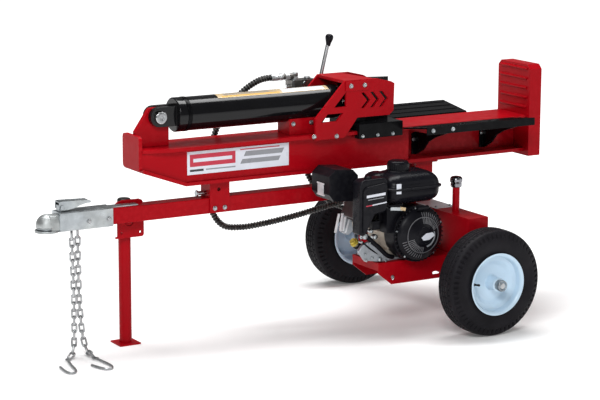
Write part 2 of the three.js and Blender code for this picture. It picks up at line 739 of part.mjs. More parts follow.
function oilCap() {
  const [x, y, z] = OIL.cap;
  return join(
    bar([x, y, z], [x - 6.9, y, z + 5.8], 17, 14),
    bar([x - 6.9, y, z + 5.8], [x - 14, y, z + 11.8], 12, 10),
  );
}

function crankshaft() {
  return turned([
    [0, -322], [9, -322], [9, -300], [CRANK_R, -300], [CRANK_R, -236], [38, -236], [38, -122],
    [CRANK_R, -122], [CRANK_R, -44], [24, -44], [24, -16], [9.5, -16], [9.5, 60], [0, 60],
  ], 20, 'y', [CX, 0, CZ]);
}

function flywheel() {
  return turned([
    [9 + GAP, -318], [50, -318], [92, -311], [92, -264], [60, -268], [14, -268], [14, -300 - GAP],
    [9 + GAP, -300 - GAP], [9 + GAP, -318],
  ], 24, 'y', [CX, 0, CZ]);
}

function blowerHousing() {
  const rear = ENGINE.caseY - GAP;
  const shell = turned([
    [105, rear], [108, rear], [108, -316], [80, -324], [80, -321], [105, -313], [105, rear],
  ], 28, 'y', [CX, 0, CZ]);
  const duct = cut(
    block(CX - 128, CX - 58, -300, rear, CZ + 10, CZ + 116),
    block(CX - 125, CX - 50, -297, rear + 1, CZ + 13, CZ + 113),
  );
  return cut(
    join(
      shell,
      cut(duct, bar([CX, -330, CZ], [CX, -240, CZ], 106.5, 28)),
      block(THROTTLE.x - 6, CX - 120, -300, -296, CZ + 100, THROTTLE.z + 9),
    ),
    block(CX - 130, CX + 130, PLATFORM.y0 - GAP, -240, ENGINE.baseZ - 40, ENGINE.baseZ + GAP),
  );
}

function recoilCover() {
  return turned([
    [0, ENGINE.frontY], [30, ENGINE.frontY], [66, -350], [94, -334], [98.5, -324 - GAP],
    [92, -324 - GAP], [62, -346], [28, -362], [0, -362],
  ], 28, 'y', [CX, 0, CZ]);
}

const GRIP = { x: CX - 5, y: -352, z: CZ + 104 };

// The handle's stem points along its pull, up and away from the engine.
function starterGrip() {
  const { x, y, z } = GRIP;
  return join(
    bar([x - 24, y, z], [x + 24, y, z], 8.5, 10),
    bar([x, y, z], [x, y + 11, z - 8], 4, 8),
  );
}

const FUEL = { x0: -349, x1: -118, y0: -345, y1: -172, z0: 495, z1: 612, seam: 553 };
const FUEL_CAP = { x: -262, y: -256, r: 42 };

function fuelTank() {
  const { x0, x1, y0, y1, z0, z1, seam } = FUEL;
  const plan = rounded(x0, x1, y0, y1, 34, 3);
  const rim = rounded(x0 - 6, x1 + 11, y0 - 6, y1 + 6, 38, 3);
  const shoulder = rounded(x0 - 22, x0 + 50, -268, y1, 22, 3);
  return cut(
    join(
      pillow(plan, z0, seam + 20, 30, 24),
      pillow(plan, seam - 25, z1, 30, 40),
      pillow(shoulder, z0 + 24, z1 - 6, 16, 24),
      plateXY(rim, seam, seam + 5),
    ),
    block(x0 + 42, x1 - 42, y0 + 42, y1 - 42, z0 + 4, z1 - 4),
    bar([FUEL_CAP.x, FUEL_CAP.y, z1 - 6], [FUEL_CAP.x, FUEL_CAP.y, z1 + 4], 20, 16),
  );
}

function fuelCap() {
  const { x, y, r } = FUEL_CAP;
  const profile = [[0, 0], [r - 5, 0], [r, 3], [r, 26], [r - 7, 35], [0, 36]];
  return turned(profile, 20, 'z', [x, y, FUEL.z1 + GAP]);
}

function muffler() {
  const box = plateXZ([
    [-548, 540], [-528, 514], [-440, 508], [-424, 530], [-424, 604], [-446, 626], [-520, 632],
    [-548, 608],
  ], -236, -110);
  const flange = leaned(block(-200, -172, 22, 52, 48 + GAP, 58));
  const pipe = bar([-347.3, -143, 510.8], [-440, -143, 562], 9, 12);
  return join(box, flange, pipe);
}

function airCleaner() {
  const box = plateXY(rounded(-477, -356, -345, -279, 12, 3), 493, 606);
  const skirt = plateXZ([[-477, 397], [-450, 397], [-412, 470], [-412, 494], [-477, 494]], -340, -290);
  const intake = bar([-385, -281, 505], [-385, -240 - GAP, 462], 18, 14);
  return join(box, skirt, cut(intake, block(-420, -350, -240 - GAP, -200, 420, 500)));
}

function pumpBracket() {
  return turned([
    [50, -108 + GAP], [60, -108 + GAP], [60, -12], [50, -12], [50, -108 + GAP],
  ], 24, 'y', [CX, 0, CZ]);
}

function gearPump() {
  const body = plateXZ(rounded(CX - 48, CX + 48, CZ - 46, CZ + 44, 14, 3), -12 + GAP, 84);
  const outlet = join(
    bar([CX - 28, 60, CZ + 40], [CX - 28, 60, 452], 12, 12),
    bar([CX - 28, 60, 440], [-262, 60, 440], 11, 12),
  );
  return cut(join(body, outlet), bar([CX, -20, CZ], [CX, 70, CZ], 10.1, 20));
}

// A flat lever in front of the blower duct, on a pin that reaches back to it.
function throttleLever() {
  const { x, z, tip } = THROTTLE;
  return join(
    plateXZ([[x - 7, z - 6], [x + 4, z - 7], [tip, z - 14], [tip + 2, z - 1], [x + 2, z + 6], [x - 7, z + 5]],
      -352.5, -349.5),
    bar([x, -352, z], [x, -300 - GAP, z], 4, 10),
  );
}

add('crankcase', crankcase(), ALUMINIUM());
add('cylinder_head', cylinderHead(), ALUMINIUM());
add('oil_cap', oilCap(), YELLOW());
add('crankshaft', crankshaft(), STEEL());
add('flywheel', flywheel(), ALUMINIUM());
add('blower_housing', blowerHousing(), SATIN_BLACK());
add('recoil_cover', recoilCover(), SATIN_BLACK());
add('starter_grip', starterGrip(), SATIN_BLACK());
add('fuel_tank', fuelTank(), SATIN_BLACK());
add('fuel_cap', fuelCap(), SATIN_BLACK());
add('muffler', muffler(), SATIN_BLACK());
add('air_cleaner', airCleaner(), SATIN_BLACK());
add('throttle_lever', throttleLever(), ZINC());
add('pump_bracket', pumpBracket(), SATIN_BLACK());
add('gear_pump', gearPump(), ALUMINIUM());

// ---------------------------------------------------------------- origin

const NOSE = COUPLER.ballX - COUPLER.domeR - 5;
machine.position.x = -(NOSE + FOOT.x1) / 2;

export default machine;
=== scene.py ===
"""Looks of a towable log splitter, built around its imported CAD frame.

Lengths are in mm from the drawing's origin, on the ground below the axle, until P() turns them into the
row frame's metres.
"""

import json
import math

import bmesh
import bpy
from mathutils import Matrix, Vector


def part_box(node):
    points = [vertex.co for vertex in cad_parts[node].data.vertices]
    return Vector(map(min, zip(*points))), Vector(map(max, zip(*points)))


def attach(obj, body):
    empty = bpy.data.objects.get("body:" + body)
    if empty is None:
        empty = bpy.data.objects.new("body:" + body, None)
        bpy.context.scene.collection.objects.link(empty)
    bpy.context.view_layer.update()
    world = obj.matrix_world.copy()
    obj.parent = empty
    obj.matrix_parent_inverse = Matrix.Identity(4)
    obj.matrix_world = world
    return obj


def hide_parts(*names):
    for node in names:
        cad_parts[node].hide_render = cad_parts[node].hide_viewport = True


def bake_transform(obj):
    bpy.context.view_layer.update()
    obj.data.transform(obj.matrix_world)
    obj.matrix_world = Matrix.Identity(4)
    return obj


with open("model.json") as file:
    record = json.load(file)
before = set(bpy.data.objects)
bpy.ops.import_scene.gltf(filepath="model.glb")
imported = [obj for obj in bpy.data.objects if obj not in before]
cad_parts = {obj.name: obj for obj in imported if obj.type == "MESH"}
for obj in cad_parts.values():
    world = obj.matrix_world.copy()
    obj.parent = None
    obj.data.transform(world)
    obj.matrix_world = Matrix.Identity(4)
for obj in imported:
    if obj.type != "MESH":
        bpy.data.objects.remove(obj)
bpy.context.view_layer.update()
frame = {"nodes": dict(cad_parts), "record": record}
MM = 0.001
AXLE_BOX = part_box("axle")
ORIGIN_X = (AXLE_BOX[0].x + AXLE_BOX[1].x) / 2
scene = bpy.context.scene


NEAR, FAR = Vector((0, -1, 0)), Vector((0, 1, 0))
REAR, UP = Vector((1, 0, 0)), Vector((0, 0, 1))


def P(x, y, z):
    """A point of the drawing, in mm, as a point of the row frame, in metres."""
    return Vector((x * MM + ORIGIN_X, y * MM, z * MM))


# ---------------------------------------------------------------- camera

# The photograph's viewpoint, in the drawing's mm, and the directions that it looks and turns in.
CAMERA_AT = (-4579.5, -6826.8, 2071.1)
CAMERA_FORWARD = (0.49990, 0.84347, -0.19660)
CAMERA_RIGHT = (0.86065, -0.50918, 0.00387)
CAMERA_LENS = 128.77
CAMERA_FAR = 100.0

camera = bpy.data.objects.new("camera", bpy.data.cameras.new("camera"))
scene.collection.objects.link(camera)
scene.camera = camera
camera.data.lens = CAMERA_LENS
camera.data.sensor_width = 36.0
camera.data.clip_end = CAMERA_FAR
forward = Vector(CAMERA_FORWARD).normalized()
right = Vector(CAMERA_RIGHT).normalized()
up = right.cross(forward).normalized()
turned_to = Matrix((right, up, -forward)).transposed().to_4x4()
camera.matrix_world = Matrix.Translation(P(*CAMERA_AT)) @ turned_to

# ---------------------------------------------------------------- materials


class Surface:
    """A Principled material with colour variation, edge wear and painted edge highlights, grain and varied
    roughness.
    """

    def __init__(self, name, colour, rough, metal=0.0):
        self.material = bpy.data.materials.new(name)
        self.material.use_nodes = True
        self.tree = self.material.node_tree
        self.shader = self.tree.nodes["Principled BSDF"]
        self.place = self.tree.nodes.new("ShaderNodeTexCoord").outputs["Object"]
        self.colour = self.rgb(colour)
        self.base = colour
        self.rough = rough
        self.bumps = None
        self.shader.inputs["Metallic"].default_value = metal

    def rgb(self, colour):
        node = self.tree.nodes.new("ShaderNodeRGB")
        node.outputs[0].default_value = (*colour, 1)
        return node.outputs[0]

    def noise(self, scale, detail=3.0, stretch=(1, 1, 1)):
        mapping = self.tree.nodes.new("ShaderNodeMapping")
        mapping.inputs["Scale"].default_value = stretch
        self.tree.links.new(self.place, mapping.inputs["Vector"])
        node = self.tree.nodes.new("ShaderNodeTexNoise")
        node.inputs["Scale"].default_value = scale
        node.inputs["Detail"].default_value = detail
        self.tree.links.new(mapping.outputs[0], node.inputs["Vector"])
        return node.outputs[0]

    def ramp(self, value, low, high, to_low=0.0, to_high=1.0):
        node = self.tree.nodes.new("ShaderNodeMapRange")
        for name, number in zip(
            ("From Min", "From Max", "To Min", "To Max"), (low, high, to_low, to_high)
        ):
            node.inputs[name].default_value = number
        self.tree.links.new(value, node.inputs["Value"])
        return node.outputs[0]

    def blend(self, factor, colour):
        """Mixes another colour over the surface's own where factor is high."""
        node = self.tree.nodes.new("ShaderNodeMix")
        node.data_type = "RGBA"
        self.tree.links.new(factor, node.inputs["Factor"])
        self.tree.links.new(self.colour, node.inputs["A"])
        node.inputs["B"].default_value = (*colour, 1)
        self.colour = node.outputs["Result"]
        return self

    def vary(self, scale=9.0, amount=0.25):
        shade = tuple(c * (1 - amount) for c in self.base)
        return self.blend(self.ramp(self.noise(scale), 0.35, 0.7), shade)

    def dust(self, colour, scale=3.0, amount=0.15):
        return self.blend(self.ramp(self.noise(scale, 6), 0.45, 0.8, 0, amount), colour)

    def edge_wear_and_highlight(self, colour, amount=0.6):
        """Shows another colour along sharp edges, in broken patches; on the hose jacket this is a painted
        highlight along the rib crests.
        """
        edge = self.tree.nodes.new("ShaderNodeNewGeometry").outputs["Pointiness"]
        edge = self.ramp(edge, 0.53, 0.62)
        broken = self.ramp(self.noise(60, 6), 0.45, 0.6, 0, amount)
        both = self.tree.nodes.new("ShaderNodeMath")
        both.operation = "MULTIPLY"
        self.tree.links.new(edge, both.inputs[0])
        self.tree.links.new(broken, both.inputs[1])
        return self.blend(both.outputs[0], colour)

    def grain(self, scale, strength, stretch=(1, 1, 1), distance=0.0006):
        bump = self.tree.nodes.new("ShaderNodeBump")
        bump.inputs["Strength"].default_value = strength
        bump.inputs["Distance"].default_value = distance
        self.tree.links.new(self.noise(scale, 4, stretch), bump.inputs["Height"])
        if self.bumps:
            self.tree.links.new(self.bumps, bump.inputs["Normal"])
        self.bumps = bump.outputs[0]
        return self

    def dull(self, level):
        """Lowers the strength of the surface's reflections."""
        self.shader.inputs["Specular IOR Level"].default_value = level
        return self

    def coat(self, weight, rough=0.08):
        self.shader.inputs["Coat Weight"].default_value = weight
        self.shader.inputs["Coat Roughness"].default_value = rough
        return self

    def done(self, spread=0.08):
        links = self.tree.links
        links.new(self.colour, self.shader.inputs["Base Color"])
        smear = self.ramp(
            self.noise(22, 5), 0.3, 0.75, max(0.02, self.rough - spread), self.rough + spread
        )
        links.new(smear, self.shader.inputs["Roughness"])
        if self.bumps:
            links.new(self.bumps, self.shader.inputs["Normal"])
        return self.material


# One look for each material slot. Colours are linear, and each step's numbers are its scale and strength.
LOOKS = {
    "red_paint": Surface("red_paint", (0.33, 0.0012, 0.0065), 0.36)
    .vary(5, 0.08).dust((0.30, 0.01, 0.015), 4, 0.03).edge_wear_and_highlight((0.45, 0.012, 0.02), 0.4)
    .grain(420, 0.10).dull(0.07).coat(0.05, 0.10).done(),
    "gloss_black_paint": Surface("gloss_black_paint", (0.004, 0.004, 0.005), 0.24)
    .vary(12, 0.3).edge_wear_and_highlight((0.015, 0.015, 0.016), 0.4).grain(300, 0.05).dull(0.06).coat(0.05, 0.06).done(0.05),
    "satin_black_paint": Surface("satin_black_paint", (0.007, 0.007, 0.010), 0.36)
    .vary(14, 0.3).edge_wear_and_highlight((0.03, 0.03, 0.033), 0.5).grain(900, 0.16).dull(0.10).done(),
    "rim_paint": Surface("rim_paint", (0.50, 0.64, 0.76), 0.38)
    .vary(6, 0.06).dust((0.45, 0.42, 0.36), 5, 0.08).grain(500, 0.06).coat(0.3, 0.1).done(),
    "cast_black": Surface("cast_black", (0.018, 0.018, 0.020), 0.42)
    .vary(30, 0.4).edge_wear_and_highlight((0.2, 0.2, 0.2), 0.5).grain(700, 0.3).done(0.1),
    "zinc_plate": Surface("zinc_plate", (0.43, 0.46, 0.48), 0.34, 1.0)
    .vary(35, 0.25).dust((0.50, 0.48, 0.40), 9, 0.25).grain(240, 0.12).done(0.12),
    "plain_steel": Surface("plain_steel", (0.40, 0.41, 0.42), 0.34, 1.0)
    .vary(25, 0.3).grain(200, 0.1).done(0.1),
    "chrome": Surface("chrome", (0.78, 0.79, 0.80), 0.10, 1.0)
    .vary(20, 0.1).grain(150, 0.03).done(0.05),
    "cast_aluminium": Surface("cast_aluminium", (0.44, 0.39, 0.33), 0.45, 0.6)
    .vary(30, 0.25).dust((0.25, 0.20, 0.15), 8, 0.3).grain(650, 0.3).done(0.1),
    "tyre": Surface("tyre", (0.011, 0.010, 0.013), 0.55)
    .vary(18, 0.3).dust((0.035, 0.033, 0.036), 7, 0.3).grain(800, 0.25).dull(0.12).done(0.1),
    "black_rubber": Surface("black_rubber", (0.013, 0.012, 0.012), 0.42)
    .vary(25, 0.35).dust((0.05, 0.045, 0.04), 12, 0.25).grain(900, 0.2).dull(0.3).done(0.1),
    "black_plastic": Surface("black_plastic", (0.006, 0.006, 0.009), 0.30)
    .vary(15, 0.25).edge_wear_and_highlight((0.03, 0.03, 0.034), 0.5).grain(1100, 0.14).dull(0.14).done(0.08),
    "yellow_plastic": Surface("yellow_plastic", (0.74, 0.60, 0.10), 0.4)
    .vary(40, 0.15).grain(600, 0.1).done(0.08),
}
# The hose jacket's pale rib crests are a painted highlight along the ribs, not wear.
HOSE_LOOK = (
    Surface("hose_jacket", (0.004, 0.004, 0.004), 0.36).vary(25, 0.3).edge_wear_and_highlight((0.30, 0.28, 0.25), 1.0)
    .grain(900, 0.2).done(0.08)
)
BARREL_BLACK = (
    Surface("barrel_black", (0.004, 0.004, 0.005), 0.2).vary(12, 0.3)
    .grain(300, 0.04).dull(0.1).coat(0.45, 0.08).done(0.05)
)


def plain(name, colour, rough, metal, vary, grain, spread):
    """A look with only colour variation and grain, each a (scale, strength)."""
    return Surface(name, colour, rough, metal).vary(*vary).grain(*grain).done(spread)


ENGINE_GREY = plain("engine_grey", (0.10, 0.095, 0.095), 0.42, 0.5, (30, 0.4), (600, 0.3), 0.1)
BASE_GREY = plain("base_grey", (0.36, 0.38, 0.41), 0.42, 0.6, (30, 0.3), (600, 0.25), 0.1)
VALVE_GREY = plain("valve_grey", (0.22, 0.21, 0.20), 0.36, 0.8, (40, 0.4), (500, 0.25), 0.1)
CHAIN_ZINC = plain("chain_zinc", (0.48, 0.49, 0.50), 0.34, 0.85, (60, 0.4), (500, 0.2), 0.1)
PALE_ZINC = plain("pale_zinc", (0.66, 0.68, 0.69), 0.30, 0.7, (60, 0.3), (500, 0.12), 0.1)
# Pale grey for a thin sheet over the hydraulic tank's top: a painted reflection of glare.
TANK_TOP_PAINTED_GLARE = plain("tank_top_painted_glare", (0.62, 0.63, 0.65), 0.45, 0.2, (30, 0.15), (400, 0.15), 0.1)
DARK_CHROME = plain("dark_chrome", (0.26, 0.26, 0.28), 0.14, 1.0, (40, 0.3), (200, 0.05), 0.06)
CAST_ZINC = plain("cast_zinc", (0.46, 0.48, 0.48), 0.5, 0.9, (35, 0.3), (300, 0.35), 0.12)
BRIGHT_TRIM = plain("bright_trim", (0.62, 0.62, 0.64), 0.45, 0.3, (40, 0.2), (400, 0.2), 0.1)
# Pale grey for the recoil cover's black vanes and ring: a painted highlight.
VANE_PAINTED_HIGHLIGHT = plain("vane_painted_highlight", (0.13, 0.13, 0.14), 0.3, 0.0, (30, 0.3), (600, 0.1), 0.06)


def film(name, colour, uneven=0.1):
    """The look of a printed label."""
    return plain(name, colour, 0.35, 0.0, (16, uneven), (300, 0.05), 0.08)


LABEL = film("label_film", (0.60, 0.62, 0.68), 0.08)
LABEL_RED = film("label_red", (0.45, 0.02, 0.05))
LABEL_GREY = film("label_grey", (0.24, 0.25, 0.27))
LABEL_DARK = film("label_dark", (0.03, 0.03, 0.035))
LABEL_SAND = film("label_sand", (0.50, 0.38, 0.22))
LABEL_AMBER = film("label_amber", (0.62, 0.33, 0.04))

# ---------------------------------------------------------------- mesh tools


def soften(obj, width, segments=2, angle=32):
    """Rounds an object's sharp edges and shades it smoothly."""
    if width:
        bevel = obj.modifiers.new("bevel", "BEVEL")
        bevel.width = width * MM
        bevel.segments = segments
        bevel.limit_method = "ANGLE"
        bevel.angle_limit = math.radians(angle)
        bevel.use_clamp_overlap = True
    normals = obj.modifiers.new("normals", "WEIGHTED_NORMAL")
    normals.keep_sharp = False
    normals.weight = 80


def piece(name, bm, slot, body, look=None, round_off=0.0, ride=True):
    """Turns a bmesh, drawn in the row frame, into a piece that rides on a body."""
    bmesh.ops.recalc_face_normals(bm, faces=bm.faces)
    data = bpy.data.meshes.new(name)
    bm.to_mesh(data)
    bm.free()
    for polygon in data.polygons:
        polygon.use_smooth = True
    obj = bpy.data.objects.new(name, data)
    scene.collection.objects.link(obj)
    data.materials.append(look or LOOKS[slot])
    soften(obj, round_off)
    if ride:
        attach(obj, body)
    return obj


def axes(direction, side=None):
    """Two unit vectors square to a direction."""
    along = Vector(direction).normalized()
    helper = Vector(side) if side else Vector((0, 0, 1)) if abs(along.z) < 0.9 else Vector((1, 0, 0))
    u = (helper - along * helper.dot(along)).normalized()
    return u, along.cross(u)


def skin(bm, rings, closed=False, loop=False):
    """Joins rings of vertices with faces. A ring of one vertex is a pole."""
    pairs = list(zip(rings, rings[1:]))
    if loop:
        pairs.append((rings[-1], rings[0]))
    for a, b in pairs:
        if len(a) == 1 and len(b) == 1:
            continue
        n = max(len(a), len(b))
        for i in range(n):
            j = (i + 1) % n
            if len(a) == 1:
                bm.faces.new((a[0], b[i], b[j]))
            elif len(b) == 1:
                bm.faces.new((a[i], b[0], a[j]))
            else:
                bm.faces.new((a[i], b[i], b[j], a[j]))
    if closed:
        bm.faces.new(rings[0][::-1])
        bm.faces.new(rings[-1])


def lathe(bm, profile, centre, direction, segments=64, shape=None):
    """Turns a profile of (radius, distance) in mm about an axis. A closed profile repeats its first point.
    shape(radius, distance, angle) may move a point."""
    u, v = axes(direction)
    along = Vector(direction).normalized()
    loop = profile[0] == profile[-1] and profile[0][0] > 0
    rings = []
    for r, h in profile[:-1] if loop else profile:
        if r == 0:
            rings.append([bm.verts.new(centre + along * (h * MM))])
            continue
        ring = []
        for i in range(segments):
            angle = 2 * math.pi * i / segments
            reach, rise = shape(r, h, angle) if shape else (r, h)
            out = u * math.cos(angle) + v * math.sin(angle)
            ring.append(bm.verts.new(centre + along * (rise * MM) + out * (reach * MM)))
        rings.append(ring)
    skin(bm, rings, loop=loop)


def prism(bm, outline, place, depth):
    """Extrudes an outline. place turns (u, v) in mm into a point, and depth is a vector in metres."""
    a = [bm.verts.new(place(u, v)) for u, v in outline]
    b = [bm.verts.new(vert.co + depth) for vert in a]
    skin(bm, [a, b], closed=True)


def box(bm, x0, x1, y0, y1, z0, z1):
    outline = [(x0, y0), (x1, y0), (x1, y1), (x0, y1)]
    prism(bm, outline, lambda u, v: P(u, v, z0), Vector((0, 0, (z1 - z0) * MM)))


def plate_xz(bm, outline, y0, y1):
    """A plate that stands across Y."""
    prism(bm, outline, lambda u, v: P(u, y0, v), Vector((0, (y1 - y0) * MM, 0)))


def plate_yz(bm, outline, x0, x1):
    """A plate that stands across X."""
    prism(bm, outline, lambda u, v: P(x0, u, v), Vector(((x1 - x0) * MM, 0, 0)))


def bar(bm, a, b, r, segments=20):
    """A round bar between two points of the drawing, with its ends chamfered."""
    start, end = P(*a), P(*b)
    long = (end - start).length / MM
    c = min(r, long) * 0.15
    profile = [(0, 0), (r - c, 0), (r, c), (r, long - c), (r - c, long), (0, long)]
    lathe(bm, profile, start, end - start, segments)


def hexagon(bm, at, direction, r, height):
    """A flanged hexagon bolt head with a domed top, standing on the point `at`."""
    flange = [(0, 0), (r * 1.12, 0), (r * 1.12, 1.2), (r * 1.02, 1.9), (0, 1.9)]
    head = [(0, 1.7), (r * 0.92, 1.7), (r * 0.92, height * 0.8), (r * 0.76, height), (0, height + 0.6)]
    lathe(bm, flange, P(*at), direction, 24)
    lathe(bm, head, P(*at), direction, 6)


def bolts(name, body, direction, places, r, height, slot="zinc_plate"):
    """Bolt heads of one size, as one piece."""
    bm = bmesh.new()
    for at in places:
        hexagon(bm, at, direction, r, height)
    return piece(name, bm, slot, body, round_off=0.5)


def turned(name, slot, body, parts, direction, look=None, round_off=0.0, shape=None):
    """A piece of lathed parts about one direction. Each part is its centre, its segments and its profile."""
    bm = bmesh.new()
    for at, segments, profile in parts:
        lathe(bm, profile, P(*at), direction, segments, shape)
    return piece(name, bm, slot, body, look, round_off)


def slab(name, slot, body, outline, y0, y1, look=None, round_off=0.0):
    """A piece cut from plate that stands across Y."""
    bm = bmesh.new()
    plate_xz(bm, outline, y0, y1)
    return piece(name, bm, slot, body, look, round_off)


CURVE_STEPS = 40


def curve(points, spacing):
    """The centripetal Catmull-Rom curve through the drawing's points, as points a spacing apart in mm,
    and its length in metres."""
    pts = [P(*p) for p in points]
    ends = [2 * pts[0] - pts[1], *pts, 2 * pts[-1] - pts[-2]]
    fine = [pts[0]]
    for a, b, c, d in zip(ends, ends[1:], ends[2:], ends[3:]):
        d0, d1, d2 = ((q - p).length ** 0.5 for p, q in ((a, b), (b, c), (c, d)))
        t1 = ((b - a) / d0 - (c - a) / (d0 + d1) + (c - b) / d1) * d1
        t2 = ((c - b) / d1 - (d - b) / (d1 + d2) + (d - c) / d2) * d1
        for i in range(1, CURVE_STEPS + 1):
            t = i / CURVE_STEPS
            fine.append(
                b * (2 * t**3 - 3 * t**2 + 1) + t1 * (t**3 - 2 * t**2 + t)
                + c * (3 * t**2 - 2 * t**3) + t2 * (t**3 - t**2)
            )
    total = sum((q - p).length for p, q in zip(fine, fine[1:]))
    steps = max(2, round(total / (spacing * MM)))
    made, walked, i = [fine[0]], 0.0, 0
    for k in range(1, steps):
        goal = total * k / steps
        while walked + (fine[i + 1] - fine[i]).length < goal:
            walked += (fine[i + 1] - fine[i]).length
            i += 1
        step = fine[i + 1] - fine[i]
        made.append(fine[i] + step * ((goal - walked) / step.length))
    return [*made, fine[-1]], total


def carried(path):
    """A path's direction at each point, and a side vector there that turns with it and doesn't twist."""
    last = len(path) - 1
    along = [(path[min(i + 1, last)] - path[max(i - 1, 0)]).normalized() for i in range(len(path))]
    side = axes(along[0])[0]
    sides = []
    for t in along:
        side = (side - t * side.dot(t)).normalized()
        sides.append(side.copy())
    return along, sides


def tube(bm, path, radius, sides=20):
    """A closed tube round a path. radius(i) is in mm."""
    along, across = carried(path)
    rings = []
    for i, (at, t, u) in enumerate(zip(path, along, across)):
        v = t.cross(u)
        rings.append([
            bm.verts.new(at + (u * math.cos(a) + v * math.sin(a)) * (radius(i) * MM))
            for a in (2 * math.pi * k / sides for k in range(sides))
        ])
    skin(bm, rings, closed=True)


# ---------------------------------------------------------------- cords: safety chains and hoses

CHAINS = {
    "left": [
        (-1483, -14, 463), (-1482, -14, 395), (-1480, -14, 303), (-1478.5, -14, 211), (-1479, -14, 138),
        (-1480, -15, 82), (-1486, -20, 38), (-1500, -32, 14), (-1514, -42, 12.2),
    ],
    "right": [
        (-1448, 12, 463), (-1448, 12, 386), (-1447.5, 12, 294), (-1446, 12, 202), (-1442, 12, 146),
        (-1438, 11, 92), (-1432, 6, 44), (-1429, -16, 16), (-1430, -46, 12.3), (-1433, -74, 12.2),
    ],
}
HOOK_STARTS = {"left": (-1522, -50, 6.4), "right": (-1428, -86, 6.4)}
WIRE, HALF_WIDTH, PITCH = 3.7, 8.1, 26.5
EYE_WIRE, EYE_HALF_WIDTH, EYE_PITCH = 3.2, 6.0, 17.0
EYE_BACK = 4
LINK_TURNS = (122, 32)
BENDS, WIRE_SIDES = 24, 10


def link(bm, centre, along, across, wire, half_width, pitch):
    """A chain link: a wire bent into a long ring."""
    straight = (pitch / 2 + wire - half_width) * MM
    line = []
    for k in range(BENDS):
        a = 2 * math.pi * k / BENDS
        push = straight if math.cos(a) > 1e-6 else -straight if math.cos(a) < -1e-6 else 0
        lengthwise = along * (math.cos(a) * half_width * MM + push)
        line.append(centre + lengthwise + across * (math.sin(a) * half_width * MM))
    normal = along.cross(across)
    rings = []
    for i, at in enumerate(line):
        t = (line[(i + 1) % BENDS] - line[i - 1]).normalized()
        out = t.cross(normal)
        rings.append([
            bm.verts.new(at + (out * math.cos(a) + normal * math.sin(a)) * (wire * MM))
            for a in (2 * math.pi * k / WIRE_SIDES for k in range(WIRE_SIDES))
        ])
    skin(bm, rings, loop=True)


for side, route in CHAINS.items():
    path, long = curve(route, 2)
    along, across = carried(path)
    half_link = PITCH / 2 + WIRE
    count = 1 + round((long / MM - 2 * half_link) / PITCH)
    bm = bmesh.new()
    for number in range(count):
        distance = half_link + (long / MM - 2 * half_link) * number / (count - 1)
        index = round(distance * MM / long * (len(path) - 1))
        u, v = across[index], along[index].cross(across[index])
        turn = math.radians(LINK_TURNS[number % 2])
        sideways = u * math.cos(turn) + v * math.sin(turn)
        link(bm, path[index], along[index], sideways, WIRE, HALF_WIDTH, PITCH)
    chain = piece(f"chain_{side}", bm, "zinc_plate", "frame", CHAIN_ZINC)
    hook_start = P(*HOOK_STARTS[side])
    toward = (hook_start - Vector((path[-1].x, path[-1].y, hook_start.z))).normalized()
    bm = bmesh.new()
    link(
        bm, hook_start - toward * (EYE_BACK * MM), toward, Vector((0, 0, 1)).cross(toward),
        EYE_WIRE, EYE_HALF_WIDTH, EYE_PITCH,
    )
    eye = piece(f"hook_eye_{side}", bm, "zinc_plate", "frame", CHAIN_ZINC)
    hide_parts(f"safety_chain_{side}")

HOSE_R = 12.5
HOSES = {
    "pressure": {
        "route": [
            (-262.3, 60, 440), (-285, 60, 440), (-312, 60, 440), (-390, 63, 428), (-500, 76, 405),
            (-640, 104, 380), (-720, 124, 372), (-790, 132, 384), (-836, 134, 440), (-848, 134, 540),
            (-844, 134, 640), (-824, 134, 740), (-780, 132, 820), (-706, 130, 890), (-640, 132, 924),
            (-600, 135, 931), (-566, 135, 931), (-533.3, 135, 931),
        ],
        "start": (-500, 100, 445), "end": (-500, 100, 900), "ferrule_bodies": ("frame", "beam"),
    },
    "return": {
        "route": [
            (-440, 135, 855.7), (-440, 135, 838), (-440, 135, 815), (-450, 130, 700), (-444, 124, 600),
            (-412, 116, 520), (-340, 104, 440), (-230, 100, 395), (-140, 100, 380), (-80, 100, 380),
            (-28.3, 100, 380),
        ],
        "start": (-440, 100, 400), "end": (-440, 100, 820), "ferrule_bodies": ("beam", "frame"),
    },
}
HOSE_SIDES = 18
RIB_PITCH = 11.5
RIB_DEPTH = 3.4
RIB_SPACING = RIB_PITCH / 8
FERRULE_LENGTH = 52.0
FERRULE_REACH = 18
FERRULE = [
    (0, 0.3), (11.5, 0.3), (13.5, 2), (13.5, 12), (11.5, 14), (11.5, 19), (13.8, 21), (13.8, 27),
    (13, 28), (13.8, 29), (13.8, 35), (13, 36), (13.8, 37), (13.8, 46), (12.8, 50), (0, 50),
]


def ribs(i, count):
    """The radius of a corrugated hose, plain where its ends go into their ferrules."""
    from_end = min(i, count - 1 - i) * RIB_SPACING
    if from_end < FERRULE_LENGTH:
        return HOSE_R - 2.5
    phase = 2 * math.pi * i * RIB_SPACING / RIB_PITCH
    return HOSE_R - RIB_DEPTH * (0.5 - 0.5 * math.cos(phase)) ** 1.5


for kind, hose in HOSES.items():
    path, long = curve(hose["route"], RIB_SPACING)
    bm = bmesh.new()
    tube(bm, path, lambda i: ribs(i, len(path)), HOSE_SIDES)
    jacket = piece(f"hose_{kind}", bm, "black_rubber", None, HOSE_LOOK, ride=False)
    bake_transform(jacket)
    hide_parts(f"{kind}_hose")
    ends = ((path[0], path[FERRULE_REACH]), (path[-1], path[-1 - FERRULE_REACH]))
    for number, ((tip, inner), body) in enumerate(zip(ends, hose["ferrule_bodies"])):
        bm = bmesh.new()
        lathe(bm, FERRULE, tip, inner - tip, 40)
        piece(f"ferrule_{kind}_{number}", bm, "zinc_plate", body, PALE_ZINC, 0.4)

# ---------------------------------------------------------------- wheels

TRACK = 965.0
AXLE_Z = 202.0
TYRE_SEGMENTS = 580
TREAD_TEETH = 58
